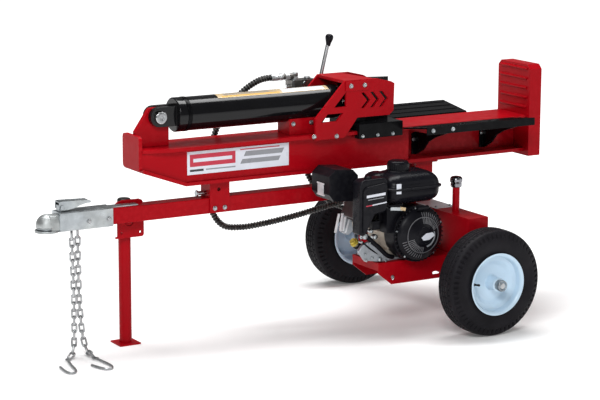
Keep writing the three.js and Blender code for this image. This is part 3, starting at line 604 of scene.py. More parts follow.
# Half a tyre, from the rim to the middle of the tread. Profiles are (radius, distance along the axis).
TYRE_HALF = [
    (110, 47), (116, 51.5), (121, 50.5), (123, 52), (127, 51.8), (132, 53), (142, 55), (150, 55.9), (158, 56),
    (166, 55.5), (172, 54.3), (175, 53.2), (178, 52.0), (184, 49.6), (188, 47.8), (191.5, 46.0), (195, 43.5),
    (197.6, 40.5), (199, 38), (199.9, 34), (200.6, 30), (201, 26.5), (201.2, 25), (196.2, 24), (196.2, 20.5),
    (201.5, 19.5), (201.7, 15), (201.9, 9.5), (196.5, 8.5), (196.5, 5), (202, 4), (202, 0),
]
RIM = [
    (14, 92), (15.6, 92), (15.6, 66), (24, 66), (26, 63), (26, 20), (31, 14), (64, 14), (72, 17), (84, 28),
    (89, 31), (101, 31), (103.5, 34), (104, 52), (107, 57), (112, 60), (115, 62), (118, 61), (118, 58.5),
    (112, 52), (109, 47), (109, -47), (112, -52), (118, -58.5), (118, -61), (114, -62), (107, -57),
    (104, -52), (103.5, 20), (92, 24), (86, 21), (72, 9), (31, 8), (26, 4), (26, -52), (14, -52), (14, 92),
]
HUB_COLLAR = [
    (16, 64), (20, 64), (20, 80), (21.5, 81), (21.5, 84), (20, 85), (20, 90), (18.5, 91.8), (16, 91.8),
    (16, 64),
]
AXLE_CAP = [(0, 87), (12.4, 87), (12.4, 90.3), (10, 91.8), (0, 91.8)]
VALVE_STEM = [(0, 0), (5.5, 0), (5.5, 8), (3.6, 12), (3.6, 21), (4.4, 22), (4.4, 29), (3, 31), (0, 31)]
STEM_OUT, STEM_X, STEM_RISE = 31, -93, 5


def tread(r, h, angle):
    """Cuts slots into the shoulders, and sipes into the tread's ribs."""
    turn = (angle * TREAD_TEETH / (2 * math.pi)) % 1.0
    inward = math.copysign(1, h)
    if 172.5 < r < 189 and turn < 0.38:
        return r - 2.5, h - 4.0 * inward
    if r > 200.3 and abs(h) > 25.5 and 0.5 < turn < 0.75:
        return r - 4.0, h
    if r > 201 and abs(h) < 19 and 0.1 < turn < 0.26:
        return r - 3.0, h
    return r, h


TYRE = TYRE_HALF + [(r, -h) for r, h in reversed(TYRE_HALF[:-1])]
TYRE.append(TYRE[0])
for side, sign in (("near", -1), ("far", 1)):
    body = f"{side}_wheel"
    outward = Vector((0, sign, 0))
    hub = (0, sign * TRACK / 2, AXLE_Z)
    tyre = turned(f"wheel_tyre_{side}", "tyre", body, [(hub, TYRE_SEGMENTS, TYRE)], outward, shape=tread)
    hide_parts(f"tyre_{side}")
    rim = turned(f"wheel_rim_{side}", "rim_paint", body, [(hub, 96, RIM)], outward)
    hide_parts(f"rim_{side}")
    turned(f"hub_collar_{side}", "plain_steel", body, [(hub, 48, HUB_COLLAR)], outward)
    turned(f"axle_cap_{side}", "plain_steel", "frame", [(hub, 32, AXLE_CAP)], outward, round_off=0.4)
    stem = (STEM_X, sign * (TRACK / 2 + STEM_OUT), AXLE_Z + STEM_RISE)
    leaning = Vector((0.35, sign, 0.05))
    turned(f"valve_stem_{side}", "black_rubber", body, [(stem, 20, VALVE_STEM)], leaning, round_off=0.3)

# ---------------------------------------------------------------- beam, cylinder and control

# Where the faces are that the bolt heads stand on: stripper plates and their top, saddle and tray brackets.
STRIPPER_Y, STRIPPER_TOP_Y, SADDLE_Y, BRACKET_Y = 103.2, 108.2, 44.2, 11.6
bolts("bolts_beam", "beam", NEAR, [
    (-535, -STRIPPER_Y, 737), (-437, -STRIPPER_Y, 731), (-378, -STRIPPER_TOP_Y, 916),
    (-318, -STRIPPER_TOP_Y, 916), (-590, -SADDLE_Y, 781), (-513, -SADDLE_Y, 781),
], 8.0, 7)
bolts("bolts_beam_far", "beam", FAR, [
    (-535, STRIPPER_Y, 737), (-437, STRIPPER_Y, 731), (-378, STRIPPER_TOP_Y, 916),
    (-318, STRIPPER_TOP_Y, 916), (-513, SADDLE_Y, 781),
], 8.0, 7)
for side, sign, way in (("near", -1, NEAR), ("far", 1, FAR)):
    places = [(x, sign * STRIPPER_TOP_Y, 722) for x in (-325, -258, -190)]
    bolts(f"bolts_gib_{side}", "ram", way, places, 6.5, 6)
for side, sign, way, x in (("near", -1, NEAR, 291), ("far", 1, FAR, 251)):
    y = sign * BRACKET_Y
    places = [(x, y, 672), (x + 18, y, 632), (-29, y, 672), (-11, y, 632)]
    bolts(f"bolts_cradle_{side}", "beam", way, places, 7.5, 6)
bolts("bolts_tray_lip", "beam", NEAR, [(-119, -275.2, 750), (-30, -275.2, 750)], 7.5, 6)

# The trays rise outwards from (TRAY_Y, TRAY_Z), and the ribs lie along them.
TRAY_Y, TRAY_Z, TRAY_SLOPE = 110, 741, 23 / 165
for side, sign, x1 in (("near", -1, 335), ("far", 1, 286)):
    bm = bmesh.new()
    for y in (158, 205, 250):
        z = TRAY_Z + (y - TRAY_Y) * TRAY_SLOPE
        section = [(y - 5, z - 1.5), (y + 5, z - 0.2), (y + 3, z + 2.4), (y - 3, z + 1.7)]
        plate_yz(bm, [(sign * v, w) for v, w in section], -130, x1)
    piece(f"tray_ribs_{side}", bm, "gloss_black_paint", "beam", round_off=0.8)

BARREL_Z = 847
PIN_FACE = [(0, 0), (20, 0), (20, 2.5), (17, 4), (8, 3.2), (6.5, 0.6), (0, 0.2)]
END_BEAD = [(62.2, -1036), (63.4, -1034), (63.4, -1022), (62.2, -1020), (61, -1028), (62.2, -1036)]
GLAND_BEAD = [(62.2, -424), (63.4, -423), (63.4, -420), (62.2, -419), (61, -421), (62.2, -424)]
turned(
    "pin_face", "chrome", "beam", [((-1138, -48, BARREL_Z), 48, PIN_FACE)], NEAR, LOOKS["plain_steel"], 0.3
)
beads = [((0, 0, BARREL_Z), 96, profile) for profile in (END_BEAD, GLAND_BEAD)]
turned("barrel_beads", "gloss_black_paint", "beam", beads, REAR)

LABEL_R, PRINT_R, LABEL_THICK = 62.35, 62.65, 0.25
WRAP_STEPS = 12


def wrap(name, look, x0, x1, a0, a1, r=PRINT_R):
    """A thin label bent round the barrel between two angles from the top, in degrees, near side negative."""
    bm = bmesh.new()
    rows = []
    for k in range(WRAP_STEPS + 1):
        a = math.radians(a0 + (a1 - a0) * k / WRAP_STEPS)
        for reach in (r, r + LABEL_THICK):
            y, z = reach * math.sin(a), BARREL_Z + reach * math.cos(a)
            rows.append([bm.verts.new(P(x, y, z)) for x in (x0, x1)])
    for k in range(WRAP_STEPS):
        i = 2 * k
        for a, b in ((rows[i], rows[i + 2]), (rows[i + 3], rows[i + 1])):
            bm.faces.new((a[0], b[0], b[1], a[1]))
        for e in (0, 1):
            bm.faces.new((rows[i][e], rows[i + 1][e], rows[i + 3][e], rows[i + 2][e]))
    for k in (0, 2 * WRAP_STEPS):
        bm.faces.new((rows[k][0], rows[k][1], rows[k + 1][1], rows[k + 1][0]))
    piece(name, bm, "black_plastic", "beam", look)


wrap("barrel_label", LABEL_SAND, -900, -430, -34, -2, LABEL_R)
wrap("barrel_label_band", LABEL_AMBER, -884, -640, -31, -24)
wrap("barrel_label_panel", LABEL, -628, -446, -31, -6)
for k in range(5):
    x1, a0, a1 = -650 - 30 * (k % 2), -21 + 3.4 * k, -19.6 + 3.4 * k
    wrap(f"barrel_label_line_{k}", LABEL_GREY, -870, x1, a0, a1)

# A generic label on the beam: bars and a frame in place of any lettering, in layers.
BEAM_LABEL = [(-1045, 632), (-620, 632), (-620, 717), (-1045, 717)]
slab("beam_label", "black_plastic", "beam", BEAM_LABEL, -63.5, -63.1, LABEL, 0.05)
for name, look, outline in (
    ("beam_label_block", LABEL_RED, [(-1034, 661), (-846, 661), (-846, 706), (-1034, 706)]),
    ("beam_label_notch", LABEL, [(-1020, 677), (-860, 677), (-860, 690), (-1020, 690)]),
    ("beam_label_rule", LABEL_DARK, [(-1034, 643), (-978, 643), (-978, 651), (-1034, 651)]),
    ("beam_label_rule_2", LABEL_GREY, [(-968, 645), (-846, 645), (-846, 650), (-968, 650)]),
    ("beam_label_wedge", LABEL_GREY, [(-826, 655), (-664, 655), (-640, 700), (-802, 700)]),
    ("beam_label_stripe", LABEL, [(-820, 672), (-650, 672), (-646, 682), (-815, 682)]),
    ("beam_label_line", LABEL_RED, [(-826, 706), (-660, 706), (-660, 710), (-826, 710)]),
):
    front = -64.0 if look is LABEL else -63.75
    slab(name, "black_plastic", "beam", outline, front, -63.45, look, 0.05)

# The control lever. Its rod stands for the CAD lever, and the knob and boss ride along.
VALVE_Y = 135
KNOB = [
    (0, 0), (6.8, 0), (8.2, 1.5), (9.4, 10), (12.4, 20), (14.8, 28), (15.6, 34), (14.6, 39.5), (11.2, 44.2),
    (6, 46.6), (0, 47.4),
]
turned("lever_knob", "black_plastic", "lever", [((-332, VALVE_Y, 1036), 48, KNOB)], Vector((0.18, 0, 1)))
bm = bmesh.new()
bar(bm, (-377, VALVE_Y, 869), (-334, VALVE_Y, 1040), 7.2, 28)
rod = piece("lever_rod", bm, "plain_steel", "lever")
bm = bmesh.new()
bar(bm, (-377, 121, 869), (-377, 147, 869), 10, 28)
bar(bm, (-377, VALVE_Y, 862), (-371, VALVE_Y, 893), 9.2, 28)
piece("lever_boss", bm, "zinc_plate", "lever")
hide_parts("valve_lever")

bm = bmesh.new()
for at, way, profile in (
    ((-440, VALVE_Y, 856), UP, [(0, -2), (14, -2), (14, 12), (12.8, 13.5), (0, 13.5)]),
    ((-520, VALVE_Y, 931), REAR, [(0, -2), (15, -2), (15, 14), (13.4, 15.5), (0, 15.5)]),
    ((-478, VALVE_Y, 918.2), UP, [(0, 0), (14.5, 0), (14.5, 10), (13, 11.5), (0, 11.5)]),
    ((-478, VALVE_Y, 938), UP, [(0, 0), (13.6, 0), (13.6, 5), (12.4, 6.5), (0, 6.5)]),
):
    lathe(bm, profile, P(*at), way, 6)
piece("valve_fittings", bm, "zinc_plate", "beam", PALE_ZINC, 0.6)
bm = bmesh.new()
for x in (-497, -409):
    box(bm, x - 5, x + 5, 108.5, 161.5, 866.5, 919.5)
lathe(bm, [(0, 0), (9, 0), (9, 5), (7, 7), (0, 7)], P(-452, 109.8, 905), NEAR, 6)
lathe(bm, [(0, 0), (12, 0), (12, 6), (10, 8), (0, 8)], P(-425, VALVE_Y, 918.2), UP, 24)
piece("valve_end_caps", bm, "plain_steel", "beam", round_off=1.0)

# ---------------------------------------------------------------- frame details

bolts("bolts_support", "frame", NEAR, [(-917, -36.2, 493), (-876, -36.2, 493)], 8.0, 7)
bolts("bolts_support_far", "frame", FAR, [(-917, 36.2, 493), (-876, 36.2, 493)], 8.0, 7)
bolts("bolts_platform", "frame", NEAR, [(-296, -280.2, 212)], 6.5, 5.5)
bolts("bolts_coupler", "frame", NEAR, [(-1424, -35.7, 497), (-1346, -35.7, 497)], 8.2, 7, "plain_steel")
bolts("bolts_coupler_far", "frame", FAR, [(-1424, 33.7, 497), (-1346, 33.7, 497)], 8.2, 7, "plain_steel")
bolts("bolts_engine", "frame", UP, [(x, y, 270.6) for x in (-330, -95) for y in (-240, -130)], 8.0, 6)

# A thin pale sheet over the far part of the hydraulic tank's top is a painted reflection of the glare there,
# not a cover; bolt heads stand on it.
GLARE_SHEET_TOP = 427.2
bm = bmesh.new()
box(bm, -27, 61, -168, 380, 424.2, GLARE_SHEET_TOP)
piece("tank_top_glare_sheet", bm, "zinc_plate", "frame", TANK_TOP_PAINTED_GLARE, 0.8)
bm = bmesh.new()
for y in (-150, 20, 190, 360):
    for x in (-15, 49):
        hexagon(bm, (x, y, GLARE_SHEET_TOP), UP, 5.5, 5)
piece("bolts_tank_top", bm, "zinc_plate", "frame", round_off=0.4)

BREATHER = [
    (0, 0), (19, 0), (21.5, 2), (21.5, 14), (20.5, 15.5), (20.5, 17.5), (24, 19.5), (24, 31), (22.5, 35),
    (18, 39.5), (9, 41.6), (0, 42),
]


def breather_flutes(r, h, angle):
    """Cuts flutes into the breather's lower band."""
    fluted = 2.5 < h < 14.5 and r > 21 and math.cos(18 * angle) > 0.2
    return (r - 0.9 if fluted else r), h


cap = turned(
    "breather", "chrome", "breather", [((14, -240, 519.3), 64, BREATHER)], UP, DARK_CHROME,
    shape=breather_flutes,
)
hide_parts("breather_cap")

# The plug in the jack leg's top, with its underside, and the collar and plate that hold the leg.
JACK_X, JACK_Y, JACK_TOP = -1234, 72, 516.3
JACK_PLUG = [(0, 28), (17, 28), (21, 27), (24, 24), (25, 20), (25, 4), (24, 2.5), (0, 2.5)]
PLUG_UNDERSIDE = [(0, 0.2), (23.5, 0.2), (23.5, 2.2), (0, 2.2)]
JACK_COLLAR = [(23.2, 506), (33, 506), (34, 507), (34, 513), (33, 514), (23.2, 514), (23.2, 506)]
JACK_EAR = [
    (-1290, 527), (-1182, 527), (-1179, 534), (-1184, 541), (-1194, 545), (-1262, 545), (-1280, 540),
    (-1289, 533),
]
plug = [((JACK_X, JACK_Y, JACK_TOP), 64, profile) for profile in (JACK_PLUG, PLUG_UNDERSIDE)]
cap = turned("jack_plug", "black_rubber", "jack", plug, UP, round_off=0.4)
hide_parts("jack_cap")
turned("jack_collar", "red_paint", "jack", [((JACK_X, JACK_Y, 0), 48, JACK_COLLAR)], UP)
slab("jack_ear", "red_paint", "frame", JACK_EAR, 28.4, 35.9, round_off=0.8)


def arc(r, angles):
    """Points of a profile at one radius, at angles in degrees."""
    return [(r * math.cos(math.radians(a)), r * math.sin(math.radians(a))) for a in angles]


# A rounded coupler dome with its lip and its neck, over the CAD channel.
BALL_X, BALL_Z = -1572, 493
DOME_OUT, DOME_IN = 38.4, 36.5
DOME_LIP = [(37, 0), (42.8, 0), (43, 1), (43, 5.5), (42, 7.2), (39.5, 8), (37, 8), (37, 0)]
outside = arc(DOME_OUT, range(-14, 90, 8))
dome = [*outside, (0, DOME_OUT), (0, DOME_IN), *arc(DOME_IN, range(88, -16, -8)), outside[0]]
bm = bmesh.new()
lathe(bm, dome, P(BALL_X, 0, BALL_Z), UP, 72)
bmesh.ops.remove_doubles(bm, verts=bm.verts, dist=1e-6)
piece("coupler_dome", bm, "zinc_plate", "frame", CAST_ZINC)
turned("coupler_lip", "zinc_plate", "frame", [((BALL_X, 0, 467.9), 72, DOME_LIP)], UP, CAST_ZINC, 0.5)
NECK_FOOT, NECK_SHOULDER, NECK_WAIST = 476, 500, 514
bm = bmesh.new()
rings = []
for x, half, top in (
    (-1570, 37.4, 530.4), (-1556, 36.6, 529.6), (-1542, 34.6, 529.2), (-1530, 32.6, 530.2),
    (-1520, 31.6, 531.8),
):
    rise = [
        (-half, NECK_FOOT), (-half, NECK_SHOULDER), (-half * 0.9, NECK_WAIST), (-half * 0.7, top - 5),
        (-half * 0.4, top - 1),
    ]
    arch = [*rise, (0, top), *((-y, z) for y, z in reversed(rise))]
    inside = [(y * 0.95, z - 1.6 if z > 480 else z) for y, z in reversed(arch)]
    rings.append([bm.verts.new(P(x, y, z)) for y, z in arch + inside])
skin(bm, rings)
bm.faces.new(rings[0])
bm.faces.new(rings[-1])
piece("coupler_neck", bm, "zinc_plate", "frame", CAST_ZINC, 0.3)

LATCH_SIDE = [
    (-1531, 572), (-1521, 575), (-1416, 571), (-1409, 568), (-1408, 564), (-1412, 561), (-1440, 560),
    (-1470, 556), (-1500, 566),
]
bm = bmesh.new()
plate_xz(bm, LATCH_SIDE, -21, -19.2)
plate_xz(bm, LATCH_SIDE, 19.2, 21)
bar(bm, (-1520, -24.5, 552), (-1520, -21, 552), 8, 24)
bar(bm, (-1520, 21, 552), (-1520, 24.5, 552), 8, 24)
piece("latch_trim", bm, "zinc_plate", "latch", round_off=0.5)

# ---------------------------------------------------------------- engine

# The recoil cover turns about the crankshaft's axis.
CRANK_X, CRANK_Z = -209.0, 376.0
RECOIL = [
    (0, -366), (24, -366), (31, -365), (33, -361.5), (37, -360.5), (64, -351.5), (68, -349.5), (71, -350),
    (88, -340), (94, -335), (98.5, -328), (98.5, -324.3), (92, -324.3), (62, -345), (28, -359), (0, -360),
]
RING = [(66.2, 0), (69, 0), (69, 3), (66.2, 3), (66.2, 0)]
VANE_FANS = ((22, 92, 44, 86), (196, 268, 44, 88))
VANES_IN_FAN = 11
VANE_LIFTS, VANE_SIDES = (2.6, -2.5), (-1.3, 1.3)
TEETH = 40
BADGE = [(-226, 370), (-204, 385), (-176, 386), (-166, 374), (-190, 359), (-216, 358)]

cover = turned(
    "recoil_shell", "black_plastic", "frame", [((CRANK_X, 0, CRANK_Z), 96, RECOIL)], FAR, round_off=0.4
)
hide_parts("recoil_cover")


def recoil_face(r):
    """The Y of the recoil cover's face at a radius."""
    return -360.5 + (r - 37) * 9 / 27 if r < 64 else -350 + (r - 71) * 10 / 17


def about_crank(r, w, angle):
    """The (x, z) of a point at a radius and w to its side, at an angle from +X."""
    ca, sa = math.cos(angle), math.sin(angle)
    return CRANK_X + r * ca - w * sa, CRANK_Z + r * sa + w * ca


# Raised vanes and a ring on the recoil cover. Their pale grey is a painted highlight on black plastic.
bm = bmesh.new()
for a0, a1, r0, r1 in VANE_FANS:
    for k in range(VANES_IN_FAN):
        angle = math.radians(a0 + (a1 - a0) * k / (VANES_IN_FAN - 1))
        corners = []
        for r in (r0, r1):
            for lift in VANE_LIFTS:
                for w in VANE_SIDES:
                    x, z = about_crank(r, w, angle)
                    corners.append(bm.verts.new(P(x, recoil_face(r) - lift, z)))
        for quad in ((0, 1, 3, 2), (4, 6, 7, 5), (0, 4, 5, 1), (2, 3, 7, 6), (0, 2, 6, 4), (1, 5, 7, 3)):
            bm.faces.new([corners[i] for i in quad])
lathe(bm, RING, P(CRANK_X, -352.6, CRANK_Z), FAR, 96)
piece("recoil_vanes", bm, "black_plastic", "frame", VANE_PAINTED_HIGHLIGHT, 0.4)
bm = bmesh.new()
for k in range(TEETH):
    corners = ((99, -2.2), (105.5, -2.2), (105.5, 2.2), (99, 2.2))
    plate_xz(bm, [about_crank(r, w, 2 * math.pi * k / TEETH) for r, w in corners], -329, -320)
piece("blower_teeth", bm, "black_plastic", "frame", round_off=0.4)
slab("recoil_badge", "black_plastic", "frame", BADGE, -366.6, -361.1, LABEL, 0.6)
swoosh = [*arc(44, range(-78, 22, 8)), *arc(39, range(18, -80, -8))]
swoosh = [(CRANK_X + 4 + x, CRANK_Z - 2 + z) for x, z in swoosh]
slab("recoil_arc", "black_plastic", "frame", swoosh, -361.5, -355.5, LABEL_GREY, 0.3)
rim_places = arc(101, (100, 170, 232, 310, 20))
bolts("bolts_recoil", "frame", NEAR, [(CRANK_X + x, -324, CRANK_Z + z) for x, z in rim_places], 4.6, 4.5)

# Air cleaner: a moulded cover with a raised panel, a latch knob and a generic label.
CLEANER = [
    (-477, 398), (-452, 397), (-413, 470), (-372, 476), (-357, 486), (-357, 596), (-368, 606), (-462, 604),
    (-477, 590),
]
CLEANER_PANEL = [
    (-466, 408), (-455, 406), (-418, 474), (-376, 482), (-364, 492), (-364, 580), (-374, 588), (-452, 578),
    (-466, 566),
]
CLEANER_KNOB = [(0, -8), (13, -8), (13, 4), (12, 6), (8, 8), (0, 8.6)]
FUEL_LABEL = [(-326, 541), (-305, 540), (-305, 578), (-326, 579)]

cover = slab("air_cleaner_body", "black_plastic", "frame", CLEANER, -337, -280, round_off=7)
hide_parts("air_cleaner")
slab("air_cleaner_panel", "black_plastic", "frame", CLEANER_PANEL, -345, -336, round_off=4)
bm = bmesh.new()
bar(bm, (-385, -281, 505), (-385, -240.5, 462), 17.5, 32)
piece("intake_neck", bm, "black_plastic", "frame")
turned(
    "air_cleaner_knob", "black_plastic", "frame", [((-430, -312, 606), 24, CLEANER_KNOB)], UP, None, 0.5,
    lambda r, h, angle: (r * (1 - 0.08 * math.cos(6 * angle)), h),
)
for name, look, outline in (
    ("air_label_bar", LABEL, [(-455, 538), (-373, 543), (-373, 553), (-455, 548)]),
    ("air_label_bar_2", LABEL_GREY, [(-449, 529), (-380, 533), (-380, 536), (-449, 532)]),
    ("air_label_stripe", LABEL_RED, [(-457, 506), (-430, 508), (-430, 512), (-457, 510)]),
    ("air_label_stripe_2", LABEL, [(-430, 508), (-368, 513), (-368, 518), (-430, 512)]),
):
    slab(name, "black_plastic", "frame", outline, -345.5, -344.6, look, 0.1)
slab("fuel_label", "black_plastic", "frame", FUEL_LABEL, -347.0, -345.2, LABEL, 0.3)

# Fuel tank: a soft pillow with a seam, and a shoulder towards the cylinder, lofted in rounded rectangles.
TANK_LEVELS = [
    (495, 46), (497, 30), (502, 18), (509, 10), (518, 4), (530, 1), (550.5, 0), (551.5, -6), (552.5, -7),
    (557, -7), (558.5, -6), (559.5, 0), (570, 1), (580, 4), (590, 10), (598, 18), (604, 28), (608.5, 40),
    (611.3, 56), (612, 72),
]
SHOULDER_LEVELS = [(519, 22), (523, 12), (532, 4), (545, 0), (580, 0), (592, 4), (601, 13), (606, 24)]
CORNER_POINTS = 12


def loft(bm, x0, x1, y0, y1, corner, levels):
    """Stacks rounded rectangles. Each level is a height and how far in from the plan it stands."""
    rings = []
    for z, inset in levels:
        r = max(4.0, corner - inset * 0.35)
        ring = []
        for cx, cy, start in ((x1, y1, 0), (x0, y1, 90), (x0, y0, 180), (x1, y0, 270)):
            sx, sy = (1 if cx == x1 else -1), (1 if cy == y1 else -1)
            mx, my = cx - sx * (inset + r), cy - sy * (inset + r)
            for k in range(CORNER_POINTS):
                a = math.radians(start + 90 * k / (CORNER_POINTS - 1))
                ring.append(bm.verts.new(P(mx + r * math.cos(a), my + r * math.sin(a), z)))
        rings.append(ring)
    skin(bm, rings, closed=True)


bm = bmesh.new()
loft(bm, -349, -118, -345, -172, 40, TANK_LEVELS)
loft(bm, -371, -290, -268, -174, 24, SHOULDER_LEVELS)
tank = piece("fuel_reservoir", bm, "satin_black_paint", "frame", LOOKS["black_plastic"])
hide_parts("fuel_tank")

FILLER_X, FILLER_Y = -262, -256
FUEL_NECK = [(40, -3), (46, -3), (46, 0), (43, 2.5), (40, 2.5), (40, -3)]
FUEL_CAP = [
    (0, 36), (30, 36), (35, 34.5), (38, 31), (40, 26), (41.5, 25), (41.5, 4), (40, 1), (36, 0.2), (0, 0.2),
]


def cap_flutes(r, h, angle):
    """Cuts flutes into the fuel cap's side."""
    return (r - 1.5 if 3.5 < h < 26 and math.cos(30 * angle) > 0.1 else r), h


turned("fuel_neck", "black_plastic", "frame", [((FILLER_X, FILLER_Y, 611), 64, FUEL_NECK)], UP)
cap = turned(
    "fuel_filler_lid", "black_plastic", "fuel_filler_cap", [((FILLER_X, FILLER_Y, 612.3), 240, FUEL_CAP)],
    UP, shape=cap_flutes,
)
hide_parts("fuel_cap")

# Crankcase face, base and the bright small parts in front of the cylinder.
CASE_EDGE = [(-301, 316), (-292, 312), (-292, 464), (-297, 466), (-301, 462)]
BASE_FLANGE = [
    (-438, 322), (-424, 342), (-396, 354), (-362, 330), (-322, 292), (-296, 284), (-296, 271.5),
    (-340, 271.5), (-412, 284),
]
ROCKER_PLATE = [(-486, 452), (-458, 440), (-452, 398), (-474, 384), (-494, 396)]
THROTTLE_TIP = [(-312, 481), (-290, 476), (-288, 488), (-311, 494)]
OIL_COLLAR = [(14, 0), (17.5, 0), (17.5, 8), (14, 8), (14, 0)]

bm = bmesh.new()
plate_xz(bm, CASE_EDGE, -256, -249.8)
for x, z in ((-284, 452), (-150, 452), (-120, 330)):
    bar(bm, (x, -253, z), (x, -249, z), 9, 20)
piece("case_flange", bm, "cast_aluminium", "frame", round_off=1.2)

bm = bmesh.new()
for r, sides, route in (
    (9, 16, [(-412, -258, 392), (-400, -262, 374), (-352, -264, 330), (-306, -262, 290), (-280, -256, 282)]),
    (4, 12, [(-424, -262, 358), (-392, -264, 330), (-350, -262, 300)]),
):
    tube(bm, curve(route, 5)[0], lambda i: r, sides)
box(bm, -384, -352, -276, -252, 398, 432)
box(bm, -350, -304, -268, -252, 424, 466)
piece("governor_rods", bm, "satin_black_paint", "frame", round_off=2)

bm = bmesh.new()
box(bm, -352, -104, -262, -120, 271, 282)
plate_xz(bm, BASE_FLANGE, -266, -252)
piece("engine_base", bm, "cast_aluminium", "frame", BASE_GREY, 2)

bm = bmesh.new()
for x, z, r in (
    (-392, 349, 5), (-410, 309, 5), (-345, 282, 9), (-318, 272, 6), (-428, 357, 5), (-405, 284, 5),
    (-380, 292, 5),
):
    bar(bm, (x, -272, z), (x, -255, z), r, 16)
for x, z, r, end in (
    (-382, 393, 8, -268), (-366, 370, 10, -270), (-412, 376, 11, -272), (-435, 404, 7, -268)
):
    bar(bm, (x, -250, z), (x, end, z), r, 20)
bar(bm, (-428, -262, 372), (-396, -262, 380), 7, 20)
bar(bm, (-352, -262, 430), (-372, -262, 427), 4, 16)
bar(bm, (-366, -258, 424), (-382, -258, 390), 3, 16)
piece("engine_fasteners", bm, "zinc_plate", "frame")

FIN_HALF = 3.2
bm = bmesh.new()
for x0, z0, x1, z1 in (
    (-513, 470, -529, 400), (-498, 470, -508, 404), (-486, 456, -496, 404), (-470, 444, -486, 396)
):
    fin = [(x0 - FIN_HALF, z0), (x0 + FIN_HALF, z0), (x1 + FIN_HALF, z1), (x1 - FIN_HALF, z1)]
    plate_xz(bm, fin, -252, -244)
piece("head_fins_front", bm, "chrome", "frame", BRIGHT_TRIM, 0.6)
slab("rocker_plate", "zinc_plate", "frame", ROCKER_PLATE, -250, -226, BASE_GREY, 2)

# The muffler's outlet guard: five upright bars between two rails.
bm = bmesh.new()
for k in range(5):
    y = -196 + 8.6 * k
    plate_yz(bm, [(y, 536), (y + 5, 536), (y + 5, 572), (y, 572)], -551, -546)
for z in (530, 572):
    plate_yz(bm, [(-200, z), (-150, z), (-150, z + 6), (-200, z + 6)], -550.5, -546)
piece("muffler_outlet", bm, "chrome", "frame", BRIGHT_TRIM, 0.5)
slab("throttle_tip", "cast_aluminium", "throttle", THROTTLE_TIP, -353.8, -348.6, LABEL_SAND, 0.8)
turned(
    "oil_neck_collar", "black_plastic", "frame", [((-352, -124, 308), 32, OIL_COLLAR)],
    Vector((-0.77, 0, 0.64)), round_off=0.6,
)
bm = bmesh.new()
bar(bm, (-214, -342, 472), (-214, -326, 460), 2.2, 12)
piece("starter_eyelet", bm, "black_rubber", "frame")

# The starter rope pays out between its eyelet and the grip.
ROPE_IN, ROPE_OUT = P(-214, -330, 463), P(-214, -342, 472)
ROPE_R = 2.0
ROPE_STEPS = 12
bm = bmesh.new()
line = [ROPE_IN.lerp(ROPE_OUT, k / ROPE_STEPS) for k in range(ROPE_STEPS + 1)]
tube(bm, line, lambda i: ROPE_R, 10)
rope = piece("starter_rope", bm, "black_rubber", None, LABEL_SAND, ride=False)
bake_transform(rope)

# ---------------------------------------------------------------- CAD nodes

# How far the edges of each CAD node are rounded, in mm.
ROUND = {
    "beam_rail": 1.6, "tongue_tube": 3.0, "hydraulic_tank": 5.0, "foot_plate": 2.4, "engine_platform": 2.2,
    "muffler": 9.0, "crankcase": 3.0, "blower_housing": 1.6, "gear_pump": 3.0, "coupler_body": 1.2,
    "wedge": 0.8, "ram_slide": 1.2, "cylinder_head": 0.8, "valve_body": 1.5, "jack_leg": 0.8,
    "starter_grip": 3.0, "cradle_near": 2.4, "cradle_far": 2.4,
}
SMALL_ROUND = 1.0
WELD_WITHIN = 0.00002
FLAT_WITHIN = 0.6
OWN_LOOK = {
    "valve_body": VALVE_GREY, "cylinder_head": ENGINE_GREY, "cylinder_barrel": BARREL_BLACK,
    "chain_hook_left": CHAIN_ZINC, "chain_hook_right": CHAIN_ZINC,
}
SMOOTH_ONLY = {"chain_hook_left", "chain_hook_right"}
for row in frame["record"]["subparts"]:
    name = row["node"]
    node = frame["nodes"][name]
    if node.hide_render:
        continue
    node.data.materials.clear()
    node.data.materials.append(OWN_LOOK.get(name, LOOKS[row["material_slot"]]))
    for polygon in node.data.polygons:
        polygon.use_smooth = True
    weld = node.modifiers.new("weld", "WELD")
    weld.merge_threshold = WELD_WITHIN
    if name in SMOOTH_ONLY:
        subdivide = node.modifiers.new("smooth", "SUBSURF")
        subdivide.levels = subdivide.render_levels = 1
        soften(node, 0)
        continue
    flat = node.modifiers.new("flat", "DECIMATE")
    flat.decimate_type = "DISSOLVE"
    flat.angle_limit = math.radians(FLAT_WITHIN)
    soften(node, ROUND.get(name, SMALL_ROUND))

# ---------------------------------------------------------------- stage

FLOOR_HALF = 60
# The floor glows more with distance, so that it fades into the backdrop: from and to in metres.
GLOW_FROM, GLOW_TO, GLOW_NEAR, GLOW_FAR = 1.0, 4.5, 0.10, 0.9
SKY_LIGHT, SKY_SEEN = 0.22, 1.0
WHITE = (1, 1, 1, 1)

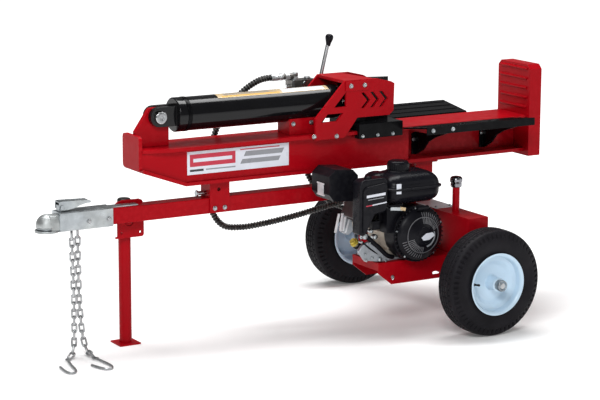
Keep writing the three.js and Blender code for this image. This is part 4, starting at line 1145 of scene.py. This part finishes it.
bm = bmesh.new()
bmesh.ops.create_grid(bm, x_segments=1, y_segments=1, size=FLOOR_HALF)
data = bpy.data.meshes.new("floor")
bm.to_mesh(data)
bm.free()
floor = bpy.data.objects.new("floor", data)
scene.collection.objects.link(floor)
paper = Surface("floor_paper", (0.90, 0.90, 0.90), 0.85).dull(0.1).vary(2, 0.02).grain(200, 0.02)
away = paper.tree.nodes.new("ShaderNodeVectorMath")
away.operation = "LENGTH"
paper.tree.links.new(paper.place, away.inputs[0])
glow = paper.ramp(away.outputs["Value"], GLOW_FROM, GLOW_TO, GLOW_NEAR, GLOW_FAR)
paper.tree.links.new(glow, paper.shader.inputs["Emission Strength"])
paper.shader.inputs["Emission Color"].default_value = WHITE
data.materials.append(paper.done(0.03))

# The sky lights the object dimly, and is white behind it.
world = bpy.data.worlds.new("studio")
scene.world = world
world.use_nodes = True
nodes, links = world.node_tree.nodes, world.node_tree.links
sky = nodes["Background"]
backdrop = nodes.new("ShaderNodeBackground")
backdrop.inputs["Strength"].default_value = SKY_SEEN
sky.inputs["Strength"].default_value = SKY_LIGHT
sky.inputs["Color"].default_value = backdrop.inputs["Color"].default_value = WHITE
seen = nodes.new("ShaderNodeMixShader")
links.new(nodes.new("ShaderNodeLightPath").outputs["Is Camera Ray"], seen.inputs["Fac"])
links.new(sky.outputs[0], seen.inputs[1])
links.new(backdrop.outputs[0], seen.inputs[2])
links.new(seen.outputs[0], nodes["World Output"].inputs["Surface"])
scene.view_settings.view_transform = "Standard"
scene.view_settings.gamma = 0.93


def softbox(name, at, aim, size, power):
    """A rectangular lamp in metres and watts, turned towards a point."""
    lamp = bpy.data.lights.new(name, "AREA")
    lamp.shape = "RECTANGLE"
    lamp.size, lamp.size_y = size
    lamp.energy = power
    obj = bpy.data.objects.new(name, lamp)
    scene.collection.objects.link(obj)
    obj.location = at
    obj.rotation_euler = (Vector(aim) - Vector(at)).to_track_quat("-Z", "Y").to_euler()


softbox("key", (-2.6, -3.6, 3.4), (0, 0, 0.6), (2.2, 1.4), 150)
softbox("top", (0.2, 0.6, 4.2), (0, 0, 0.6), (4.5, 1.6), 210)
softbox("fill", (3.6, -3.0, 2.0), (0, 0, 0.5), (2.0, 2.0), 26)
softbox("front", (-3.4, -5.4, 1.2), (0, 0, 0.5), (1.2, 2.4), 16)
